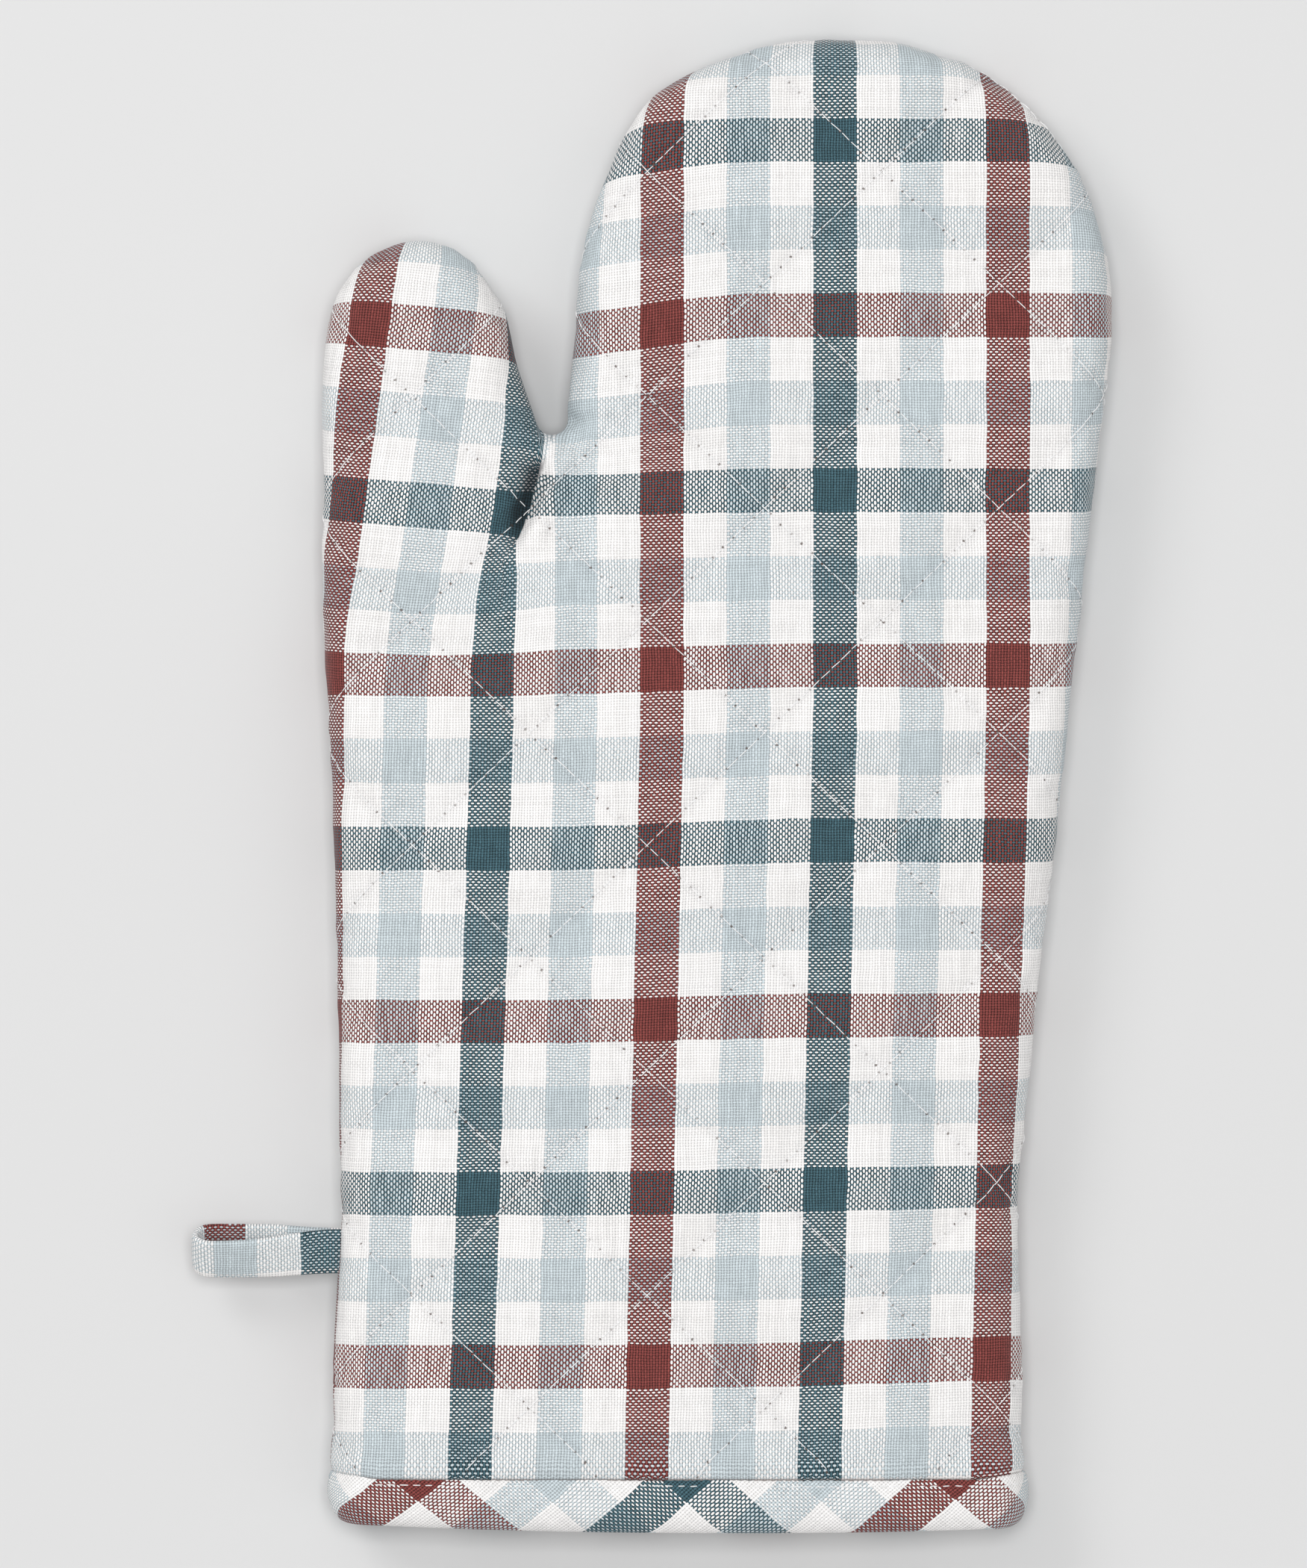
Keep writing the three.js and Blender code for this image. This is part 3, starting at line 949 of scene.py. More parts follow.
def plaid_group(weave: Weave, yarns: Yarns) -> ShaderGroup:
    """The striped plain weave as a node group, from a place on the cloth in metres, with painted shade
    between the threads and painted highlight on their crests.
    """
    group = ShaderGroup(
        "striped_weave",
        {"Place": ("NodeSocketVector", None), "Unevenness": ("NodeSocketFloat", 0.07)},
        {"Color": "NodeSocketColor", "Height": "NodeSocketFloat", "Pinholes": "NodeSocketFloat"},
    )
    g = group.graph
    place = group.given["Place"]
    wandering = {"Vector": place, "Scale": weave.wander_scale, "Detail": 1.0}
    wander = g.split(g.node("ShaderNodeTexNoise", wandering).outputs["Color"])

    def count(where: object, start: float, pitch: float, shift: object) -> NodeSocket:
        """How many threads a place is from the first one, with a little wander."""
        threads = g.math("DIVIDE", g.math("SUBTRACT", where, start), pitch)
        return g.math("ADD", threads, g.math("MULTIPLY", g.math("SUBTRACT", shift, 0.5), weave.wander))

    def off_middle(threads: object) -> NodeSocket:
        """How far a place is from its thread's middle line."""
        return g.math("ABSOLUTE", g.math("SUBTRACT", g.math("FRACT", threads), 0.5))

    def swell(dx: object, dy: object, cover: Pair, streak: tuple) -> NodeSocket:
        """How far a thread stands up, 1 at the middle of its float and 0 at its edge."""
        a = g.math("POWER", g.math("DIVIDE", dx, cover[0]), 2.0)
        b = g.math("POWER", g.math("DIVIDE", dy, cover[1]), 2.0)
        even = g.math("SUBTRACT", 1.0, g.math("ADD", a, b))
        along = g.node("ShaderNodeMapping", {"Vector": place, "Scale": streak}).outputs[0]
        thick = g.grain(along, weave.streak_scale, 1.0)
        return g.math("ADD", even, g.math("SUBTRACT", thick, 0.5))

    def stripes(thread: object, per_stripe: int, seed: float) -> NodeSocket:
        """A thread's colour, with its own small difference in depth of dye."""
        order = yarns.order()
        repeat = float(per_stripe * len(order))
        within = g.math("ADD", g.math("FLOORED_MODULO", thread, repeat), 0.5)
        ramp = g.node("ShaderNodeValToRGB", {0: g.math("DIVIDE", within, repeat)})
        ramp.color_ramp.interpolation = "CONSTANT"
        stops = ramp.color_ramp.elements
        for k, colour in enumerate(order):
            stop = stops[k] if k < 2 else stops.new(k / len(order))
            stop.position = k / len(order)
            stop.color = (*colour, 1)
        own = g.node("ShaderNodeTexWhiteNoise", {"W": g.math("ADD", thread, seed)}, noise_dimensions="1D")
        dye = g.math("SUBTRACT", own.outputs["Value"], 0.5)
        dye = g.math("ADD", 1.0, g.math("MULTIPLY", dye, group.given["Unevenness"]))
        return g.mix(1.0, ramp.outputs[0], g.grey(dye), "MULTIPLY")

    def lightness(colour: object) -> NodeSocket:
        """How light a colour is."""
        return g.node("ShaderNodeRGBToBW", {0: colour}).outputs[0]

    x, y, _ = g.split(place)
    across = count(x, weave.warp_start, weave.warp_pitch, wander[0])
    up = count(y, weave.weft_start, weave.weft_pitch, wander[1])
    warp, weft = g.math("FLOOR", across), g.math("FLOOR", up)
    lx, ly = off_middle(across), off_middle(up)
    weft_over = g.math("FLOORED_MODULO", g.math("ADD", warp, weft), 2.0)
    weft_x = g.lerp(weft_over, g.math("SUBTRACT", 1.0, lx), lx)
    warp_y = g.lerp(weft_over, ly, g.math("SUBTRACT", 1.0, ly))
    weft_swell = swell(weft_x, ly, weave.weft_cover, (weave.streak, 1.0, 1.0))
    warp_swell = swell(lx, warp_y, weave.warp_cover, (1.0, weave.streak, 1.0))
    warp_colour = stripes(warp, weave.warp_per_stripe, 3.3)
    weft_colour = stripes(weft, weave.weft_per_stripe, 71.7)
    lighter = g.math("SUBTRACT", lightness(warp_colour), lightness(weft_colour))
    weft_swell = g.math("ADD", weft_swell, g.math("MULTIPLY", lighter, weave.dark_spread))
    ahead = g.math("SUBTRACT", weft_swell, warp_swell)
    weft_shows = g.step(ahead, -weave.over_edge, weave.over_edge)
    best = g.math("MAXIMUM", weft_swell, warp_swell)
    float_colour = g.mix(weft_shows, warp_colour, weft_colour)
    # Painted shade: the gaps between threads take the darker of the two yarns' colours.
    darker = g.mix(1.0, warp_colour, weft_colour, "DARKEN")
    in_gap = g.step(best, -weave.gap_edge, weave.gap_edge, (1.0, 0.0))
    colour = g.mix(in_gap, float_colour, darker)
    darkness = g.math("SUBTRACT", 1.0, lightness(colour))
    # The pinholes between crossings are darkened as painted shade, more for dark yarns.
    hole = g.step(best, -weave.hole_edge, 0.0, (1.0, 0.0))
    slub = g.grain(place, weave.slub_scale, 2.0)
    crest = g.math("MAXIMUM", best, 0.0)
    sunk = g.math("MULTIPLY", hole, g.math("MULTIPLY_ADD", darkness, weave.hole_dark, weave.hole_dark))
    shade = g.math("MULTIPLY", g.lerp(slub, *weave.slub_shades), g.math("SUBTRACT", 1.0, sunk))
    # Painted highlight on each float's crest and painted shade in its valleys, stronger for dark yarns.
    lit = g.math("MULTIPLY_ADD", crest, weave.crest_light, weave.crest_base)
    shade = g.math("MULTIPLY", shade, lit)
    valley = g.math("SUBTRACT", 1.0, crest)
    valley = g.math("MULTIPLY", valley, g.math("POWER", darkness, weave.valley_power))
    shade = g.math("MULTIPLY", shade, g.math("MULTIPLY_ADD", valley, -weave.valley_dark, 1.0))
    # Painted highlight on the crests of dark threads, partly the light they catch and partly their light
    # fibre fuzz.
    fuzz = g.math("MULTIPLY", g.math("MULTIPLY", crest, darkness), g.lerp(slub, 0.0, weave.fuzz))
    shaded = g.mix(1.0, colour, g.grey(shade), "MULTIPLY")
    g.feed(group.result["Color"], g.mix(fuzz, shaded, colour, "ADD"))
    height = g.math("ADD", g.math("POWER", crest, 0.5), g.math("MULTIPLY", slub, weave.slub_relief))
    g.feed(group.result["Height"], height)
    g.feed(group.result["Pinholes"], hole)
    return group


def needle_group(quilting: Quilting) -> ShaderGroup:
    """Masks of the small holes that the needle left between the stitches, and of the rows."""
    group = ShaderGroup(
        "needle_holes",
        {
            "Place": ("NodeSocketVector", None),
            "Hole radius": ("NodeSocketFloat", 0.30 * MM),
            "Shake": ("NodeSocketFloat", 0.9 * MM),
            "Row start": ("NodeSocketFloat", 0.3 * MM),
            "Row end": ("NodeSocketFloat", 2.2 * MM),
        },
        {"Hole": "NodeSocketFloat", "Row": "NodeSocketFloat"},
    )
    g = group.graph
    given = group.given
    uneven = g.node("ShaderNodeTexNoise", {"Vector": given["Place"], "Scale": 420.0, "Detail": 1.0})
    shake = g.vector("SCALE", g.vector("ADD", uneven.outputs["Color"], (-0.5,) * 3), given["Shake"])
    x, y, _ = g.split(g.vector("ADD", given["Place"], shake))
    across = g.math("DIVIDE", g.math("SUBTRACT", x, quilting.origin[0]), quilting.half_width)
    up = g.math("DIVIDE", g.math("SUBTRACT", y, quilting.origin[1]), quilting.half_height)
    first = g.math("MULTIPLY", g.math("ADD", up, across), 0.5)
    second = g.math("MULTIPLY", g.math("SUBTRACT", up, across), 0.5)

    def family(off_count: object, along_count: object) -> tuple[NodeSocket, ...]:
        """Distance from a row's nearest hole, and from the row."""
        off = g.math("SUBTRACT", off_count, g.math("ROUND", off_count))
        off = g.math("MULTIPLY", g.math("ABSOLUTE", off), quilting.row_spacing)
        steps = g.math("DIVIDE", g.math("MULTIPLY", along_count, quilting.side), quilting.stitch_pitch)
        along = g.math("SUBTRACT", steps, g.math("ROUND", steps))
        along = g.math("MULTIPLY", along, quilting.stitch_pitch)
        reach = g.math("ADD", g.math("POWER", off, 2.0), g.math("POWER", along, 2.0))
        return g.math("SQRT", reach), off

    near_a, off_a = family(first, second)
    near_b, off_b = family(second, first)
    near = g.math("DIVIDE", g.math("MINIMUM", near_a, near_b), given["Hole radius"])
    depth = g.step(uneven.outputs["Fac"], 0.32, 0.6)
    g.feed(group.result["Hole"], g.math("MULTIPLY", g.step(near, 0.5, 1.2, (1.0, 0.0)), depth))
    row = g.step(g.math("MINIMUM", off_a, off_b), given["Row start"], given["Row end"], (1.0, 0.0))
    g.feed(group.result["Row"], row)
    return group


# Finishes


@dataclass(frozen=True)
class Finish:
    """What every finish has: its name, its roughness, and the sheen and relief of cloth.

    Distances are in metres, noise scales in bumps to the metre, and the rest are shares.
    """

    name: str
    roughness: float = 0.9
    sheen: float = 0.0
    relief: float = 0.1 * MM
    relief_share: float = 0.5

    def material(self) -> Material:
        """The finish as a new material."""
        material = bpy.data.materials.new(self.name)
        material.use_nodes = True
        material.node_tree.nodes.clear()
        graph = Graph(material.node_tree)
        shader = graph.node("ShaderNodeBsdfPrincipled")
        shader.inputs["Roughness"].default_value = self.roughness
        shader.inputs["Specular IOR Level"].default_value = 0.25
        shader.inputs["Sheen Weight"].default_value = self.sheen
        shader.inputs["Sheen Roughness"].default_value = 0.5
        graph.node("ShaderNodeOutputMaterial", {0: shader.outputs[0]})
        self.dress(graph, shader)
        return material

    def dress(self, graph: Graph, shader: Node) -> None:
        """Give the shader its colour and its relief."""
        raise NotImplementedError

    def raise_by(self, graph: Graph, shader: Node, height: object) -> None:
        """Raise the shader's surface by a height."""
        inputs = {"Height": height, "Distance": self.relief, "Strength": self.relief_share}
        graph.feed(shader.inputs["Normal"], graph.node("ShaderNodeBump", inputs).outputs[0])


@dataclass(frozen=True)
class PlaidCloth(Finish):
    """The striped cotton, laid by the piece's Weave map."""

    roughness: float = 0.88
    sheen: float = 0.12
    relief: float = 0.12 * MM
    relief_share: float = 0.55
    plaid: ShaderGroup | None = None
    roughnesses: Pair = (0.84, 0.96)
    soil_scale: float = 38.0
    soil: Colour = (0.62, 0.58, 0.52)
    soil_share: float = 0.07

    def place(self, graph: Graph) -> NodeSocket:
        """Where on the cloth a place of the piece was cut from."""
        return graph.map("Weave")

    def press(self, graph: Graph, colour: object, height: object) -> tuple:
        """Colour and height as the sewing leaves them; none goes through this cloth."""
        return colour, height

    def dress(self, graph: Graph, shader: Node) -> None:
        """Weave the cloth, soil it a little and press it where it is sewn."""
        woven = self.place(graph)
        plaid = self.plaid.place(graph, {"Place": woven})
        soiled = graph.step(graph.grain(woven, self.soil_scale, 4.0), 0.35, 0.75, (0.0, self.soil_share))
        colour = graph.mix(soiled, plaid["Color"], self.soil, "MULTIPLY")
        colour, height = self.press(graph, colour, plaid["Height"])
        graph.feed(shader.inputs["Base Color"], colour)
        graph.feed(shader.inputs["Roughness"], graph.lerp(plaid["Pinholes"], *self.roughnesses))
        self.raise_by(graph, shader, height)


@dataclass(frozen=True)
class QuiltedPlaid(PlaidCloth):
    """The striped cotton with needle holes, and painted shade in the holes, rows, crotch fold and binding's
    crevice.
    """

    needles: ShaderGroup | None = None
    # The four values below paint shade as colour: a dark band along the cover's lower edge, where it turns
    # into the crevice above the binding.
    crevice_shade_line: float = 0.0
    crevice_shade_reach: float = 0.9 * MM
    tuck: Colour = (0.16, 0.12, 0.11)
    crevice_shade_share: float = 0.75
    # The two values below paint the shade inside each needle hole; hole_depth also sinks the holes into the
    # relief.
    hole: Colour = (0.11, 0.075, 0.06)
    hole_shade_share: float = 0.85
    hole_depth: float = 2.0
    # The two values below paint a faint shade along the quilting rows, where the cloth dips into the
    # grooves.
    row: Colour = (0.45, 0.45, 0.48)
    row_shade_share: float = 0.1
    # The three values below paint shade in the crotch fold, on the thumb's side under the palm's overhang.
    fold: Colour = (0.12, 0.12, 0.13)
    fold_shade_share: float = 0.88
    fold_shade_sides: Pair = (-0.8 * MM, 0.4 * MM)

    def place(self, graph: Graph) -> NodeSocket:
        """The thumb's side of the crotch fold shows another stretch of the cloth."""
        side, _, _ = graph.split(graph.map("Fold"))
        on_thumb = graph.math("GREATER_THAN", side, 0.0)
        return graph.mix(on_thumb, graph.map("Weave"), graph.map("Thumb weave"))

    def press(self, graph: Graph, colour: object, height: object) -> tuple:
        """Colour and height with the needle holes, and painted shade in them, the rows, the fold and the
        crevice.
        """
        flat = graph.map("Quilt")
        side, sunk, _ = graph.split(graph.map("Fold"))
        _, above, _ = graph.split(flat)
        holes = self.needles.place(graph, {"Place": flat})
        # Painted shade inside the needle holes.
        colour = graph.mix(graph.math("MULTIPLY", holes["Hole"], self.hole_shade_share), colour, self.hole)
        # Painted shade along the quilting rows.
        rows = graph.math("MULTIPLY", holes["Row"], self.row_shade_share)
        colour = graph.mix(rows, colour, self.row, "MULTIPLY")
        # Painted shade in the crevice between the cover's lower edge and the binding.
        crevice_shade_end = self.crevice_shade_line + self.crevice_shade_reach
        crevice_shaded = graph.step(above, self.crevice_shade_line, crevice_shade_end, (self.crevice_shade_share, 0.0))
        colour = graph.mix(crevice_shaded, colour, self.tuck, "MULTIPLY")
        # Painted shade in the crotch fold, deepest where it presses in most, on the thumb's side.
        folded = graph.math("MULTIPLY", graph.step(sunk, 0.05, 0.85), graph.step(side, *self.fold_shade_sides))
        folded = graph.math("MULTIPLY", folded, self.fold_shade_share)
        colour = graph.mix(folded, colour, self.fold, "MULTIPLY")
        sunk_holes = graph.math("MULTIPLY", holes["Hole"], self.hole_depth)
        return colour, graph.math("SUBTRACT", height, sunk_holes)


@dataclass(frozen=True)
class PlainCotton(Finish):
    """A plain woven cotton of one colour."""

    roughness: float = 0.92
    sheen: float = 0.1
    colour: Colour = linear(236, 233, 226)
    pitch: float = 0.8 * MM
    fluff_scale: float = 900.0
    fluff_shades: Pair = (0.86, 1.04)
    thread_shade: float = 0.06

    def dress(self, graph: Graph, shader: Node) -> None:
        """Weave the cloth from two crossed waves, with a little fluff."""
        place = graph.map("Weave")
        turn = math.pi / self.pitch
        warp, weft = (
            graph.math("SINE", graph.math("MULTIPLY", way, turn)) for way in graph.split(place)[:2]
        )
        wave = graph.math("MULTIPLY", warp, weft)
        fluff = graph.grain(place, self.fluff_scale, 3.0)
        shade = graph.math("MULTIPLY", wave, self.thread_shade)
        shade = graph.math("ADD", shade, graph.lerp(fluff, *self.fluff_shades))
        dyed = graph.mix(1.0, self.colour, graph.grey(shade), "MULTIPLY")
        graph.feed(shader.inputs["Base Color"], dyed)
        self.raise_by(graph, shader, graph.math("ADD", wave, fluff))


@dataclass(frozen=True)
class CottonWadding(Finish):
    """Loose cotton wadding."""

    roughness: float = 1.0
    sheen: float = 0.3
    relief: float = 0.6 * MM
    relief_share: float = 0.8
    tuft_scale: float = 420.0
    dark: Colour = (0.70, 0.68, 0.62)
    light: Colour = (0.90, 0.89, 0.86)

    def dress(self, graph: Graph, shader: Node) -> None:
        """Tease it into tufts."""
        place = graph.node("ShaderNodeTexCoord").outputs["Object"]
        tufts = graph.grain(place, self.tuft_scale, 5.0)
        graph.feed(shader.inputs["Base Color"], graph.mix(tufts, self.dark, self.light))
        self.raise_by(graph, shader, tufts)


@dataclass(frozen=True)
class SewingThread(Finish):
    """Spun white sewing thread, with its twist."""

    roughness: float = 0.62
    sheen: float = 0.25
    relief: float = 0.05 * MM
    twist_scale: float = 900.0
    twist_bend: float = 3.0
    twist_share: float = 0.35
    light: Colour = (0.93, 0.93, 0.93)
    dark: Colour = (0.72, 0.72, 0.74)
    fuzz_scale: float = 3000.0
    fuzz: Colour = (0.8, 0.79, 0.76)
    fuzz_share: float = 0.2

    def dress(self, graph: Graph, shader: Node) -> None:
        """Twist the thread and leave some fuzz on it."""
        place = graph.node("ShaderNodeTexCoord").outputs["Object"]
        inputs = {"Vector": place, "Scale": self.twist_scale, "Distortion": self.twist_bend}
        wave = graph.node("ShaderNodeTexWave", inputs, bands_direction="DIAGONAL")
        twist = wave.outputs["Fac"]
        fuzz = graph.grain(place, self.fuzz_scale, 2.0)
        tone = graph.mix(graph.math("MULTIPLY", twist, self.twist_share), self.light, self.dark)
        fuzzy = graph.mix(graph.step(fuzz, 0.4, 0.8, (0.0, self.fuzz_share)), tone, self.fuzz)
        graph.feed(shader.inputs["Base Color"], fuzzy)
        self.raise_by(graph, shader, graph.math("ADD", twist, fuzz))


@dataclass(frozen=True)
class PaleFloor(Finish):
    """A plain pale surface to lie on."""

    colour: Colour = linear(220, 220, 220)

    def dress(self, graph: Graph, shader: Node) -> None:
        """Colour it."""
        shader.inputs["Base Color"].default_value = (*self.colour, 1)


class Finishes:
    """Every finish, made once."""

    def __init__(self, quilting: Quilting) -> None:
        """Make the shared node groups, then the materials."""
        plaid = plaid_group(Weave(), Yarns())
        # Where the painted crevice shade above the binding begins.
        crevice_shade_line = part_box("cuff_binding")[1].y + 0.3 * MM
        quilted = QuiltedPlaid(
            "quilted_plaid", plaid=plaid, needles=needle_group(quilting), crevice_shade_line=crevice_shade_line
        )
        self.quilted = quilted.material()
        self.bias = PlaidCloth("bias_plaid", plaid=plaid).material()
        self.loop = PlaidCloth("loop_plaid", plaid=plaid).material()
        self.lining = PlainCotton("white_lining").material()
        self.wadding = CottonWadding("cotton_wadding").material()
        self.thread = SewingThread("sewing_thread").material()
        self.floor = PaleFloor("pale_floor").material()


# Stitches


@dataclass
class StitchRow:
    """Where the stitches of one seam go, and how long each is."""

    places: Array
    ways: Array
    outs: Array


@dataclass
class StitchMaker:
    """Lays a short bowed length of thread at each of many places, by one Geometry Nodes tree."""

    finishes: Finishes
    tree: NodeTree = field(init=False)

    def __post_init__(self) -> None:
        """Build the tree."""
        tree = bpy.data.node_groups.new("stitches", "GeometryNodeTree")
        sizes = {
            "Length": 2.7 * MM,
            "Thickness": 0.26 * MM,
            "Bow": 0.12 * MM,
            "Tuck": 0.16 * MM,
            "Sway": 0.07,
            "Least scale": 0.92,
            "Most scale": 1.06,
        }
        tree.interface.new_socket("Geometry", in_out="INPUT", socket_type="NodeSocketGeometry")
        for title, default in sizes.items():
            socket = tree.interface.new_socket(title, in_out="INPUT", socket_type="NodeSocketFloat")
            socket.default_value = default
        tree.interface.new_socket("Thread", in_out="INPUT", socket_type="NodeSocketMaterial")
        tree.interface.new_socket("Geometry", in_out="OUTPUT", socket_type="NodeSocketGeometry")
        g = Graph(tree)
        given = g.node("NodeGroupInput").outputs

        def geometry(kind: str, inputs: dict, **settings: object) -> NodeSocket:
            """The first output of a geometry node."""
            return g.node(f"GeometryNode{kind}", inputs, **settings).outputs[0]

        def between(low: object, high: object, seed: int) -> NodeSocket:
            """A random number for each stitch."""
            inputs = {2: low, 3: high, "Seed": seed}
            return g.node("FunctionNodeRandomValue", inputs, data_type="FLOAT").outputs[1]

        half = g.math("MULTIPLY", given["Length"], 0.5)
        back = g.math("MULTIPLY", half, -1.0)
        down = g.math("MULTIPLY", given["Tuck"], -1.0)
        crest = g.math("ADD", g.math("MULTIPLY", given["Bow"], 2.0), given["Tuck"])
        ends = {
            "Resolution": 5,
            "Start": g.node("ShaderNodeCombineXYZ", {0: back, 2: down}).outputs[0],
            "Middle": g.node("ShaderNodeCombineXYZ", {2: crest}).outputs[0],
            "End": g.node("ShaderNodeCombineXYZ", {0: half, 2: down}).outputs[0],
        }
        bow = geometry("CurveQuadraticBezier", ends)
        radius = g.math("MULTIPLY", given["Thickness"], 0.5)
        ring = geometry("CurvePrimitiveCircle", {"Resolution": 6, "Radius": radius})
        thread = geometry("CurveToMesh", {0: bow, 1: ring, "Fill Caps": True})
        way, out = (
            geometry("InputNamedAttribute", {"Name": title}, data_type="FLOAT_VECTOR")
            for title in ("way", "out")
        )
        axes = {"primary_axis": "X", "secondary_axis": "Z"}
        turn = g.node("FunctionNodeAxesToRotation", {0: way, 1: out}, **axes).outputs[0]
        sway = between(g.math("MULTIPLY", given["Sway"], -1.0), given["Sway"], 7)
        lean = g.node("ShaderNodeCombineXYZ", {2: sway}).outputs[0]
        swayed = g.node("FunctionNodeRotateRotation", {0: turn, 1: lean}, rotation_space="LOCAL")
        size = between(given["Least scale"], given["Most scale"], 11)
        points = {"Points": given["Geometry"], "Instance": thread}
        laid = geometry("InstanceOnPoints", {**points, "Rotation": swayed.outputs[0], "Scale": size})
        smooth = geometry("SetShadeSmooth", {0: geometry("RealizeInstances", {0: laid})})
        dressed = geometry("SetMaterial", {"Geometry": smooth, "Material": given["Thread"]})
        g.node("NodeGroupOutput", {0: dressed})
        self.tree = tree

    def sew(self, name: str, row: StitchRow, length: float, thickness: float) -> Object:
        """Make one seam's stitches as a plain mesh.

        Args:
            name: the piece's name.
            row: where the stitches go.
            length: how much thread shows in each.
            thickness: the thread's thickness.

        Returns:
            The stitches, dressed as thread, with no modifier left.
        """
        points = mesh_object(f"{name}_points", row.places, [], {})
        for title, rows in (("way", row.ways), ("out", row.outs)):
            held = points.data.attributes.new(title, "FLOAT_VECTOR", "POINT")
            held.data.foreach_set("vector", rows.astype(np.float32).ravel())
        modifier = points.modifiers.new("stitches", "NODES")
        modifier.node_group = self.tree
        sockets = {s.name: s.identifier for s in self.tree.interface.items_tree if s.in_out == "INPUT"}
        modifier[sockets["Length"]] = length
        modifier[sockets["Thickness"]] = thickness
        modifier[sockets["Thread"]] = self.finishes.thread
        bpy.context.view_layer.update()
        done = points.evaluated_get(bpy.context.evaluated_depsgraph_get())
        mesh = bpy.data.meshes.new_from_object(done)
        mesh.name = name
        piece = bpy.data.objects.new(name, mesh)
        bpy.context.scene.collection.objects.link(piece)
        bpy.data.objects.remove(points)
        mesh.materials.clear()
        mesh.materials.append(self.finishes.thread)
        return piece


# Panels


@dataclass(frozen=True)
class Crease:
    """A shallow fold pressed into a panel, from start to end, measured from the fork."""

    start: Pair
    end: Pair
    depth: float
    reach: float

    def press(self, flat: Array, fork: Array) -> Array:
        """How far the fold presses each place of the panel in."""
        start, end = fork + self.start, fork + self.end
        line = end - start
        share = np.clip((flat[:, :2] - start) @ line / (line @ line), 0, 1)
        off = np.linalg.norm(flat[:, :2] - start - share[:, None] * line, axis=1)
        return self.depth * (1 - share) * np.exp(-((off / self.reach) ** 2))


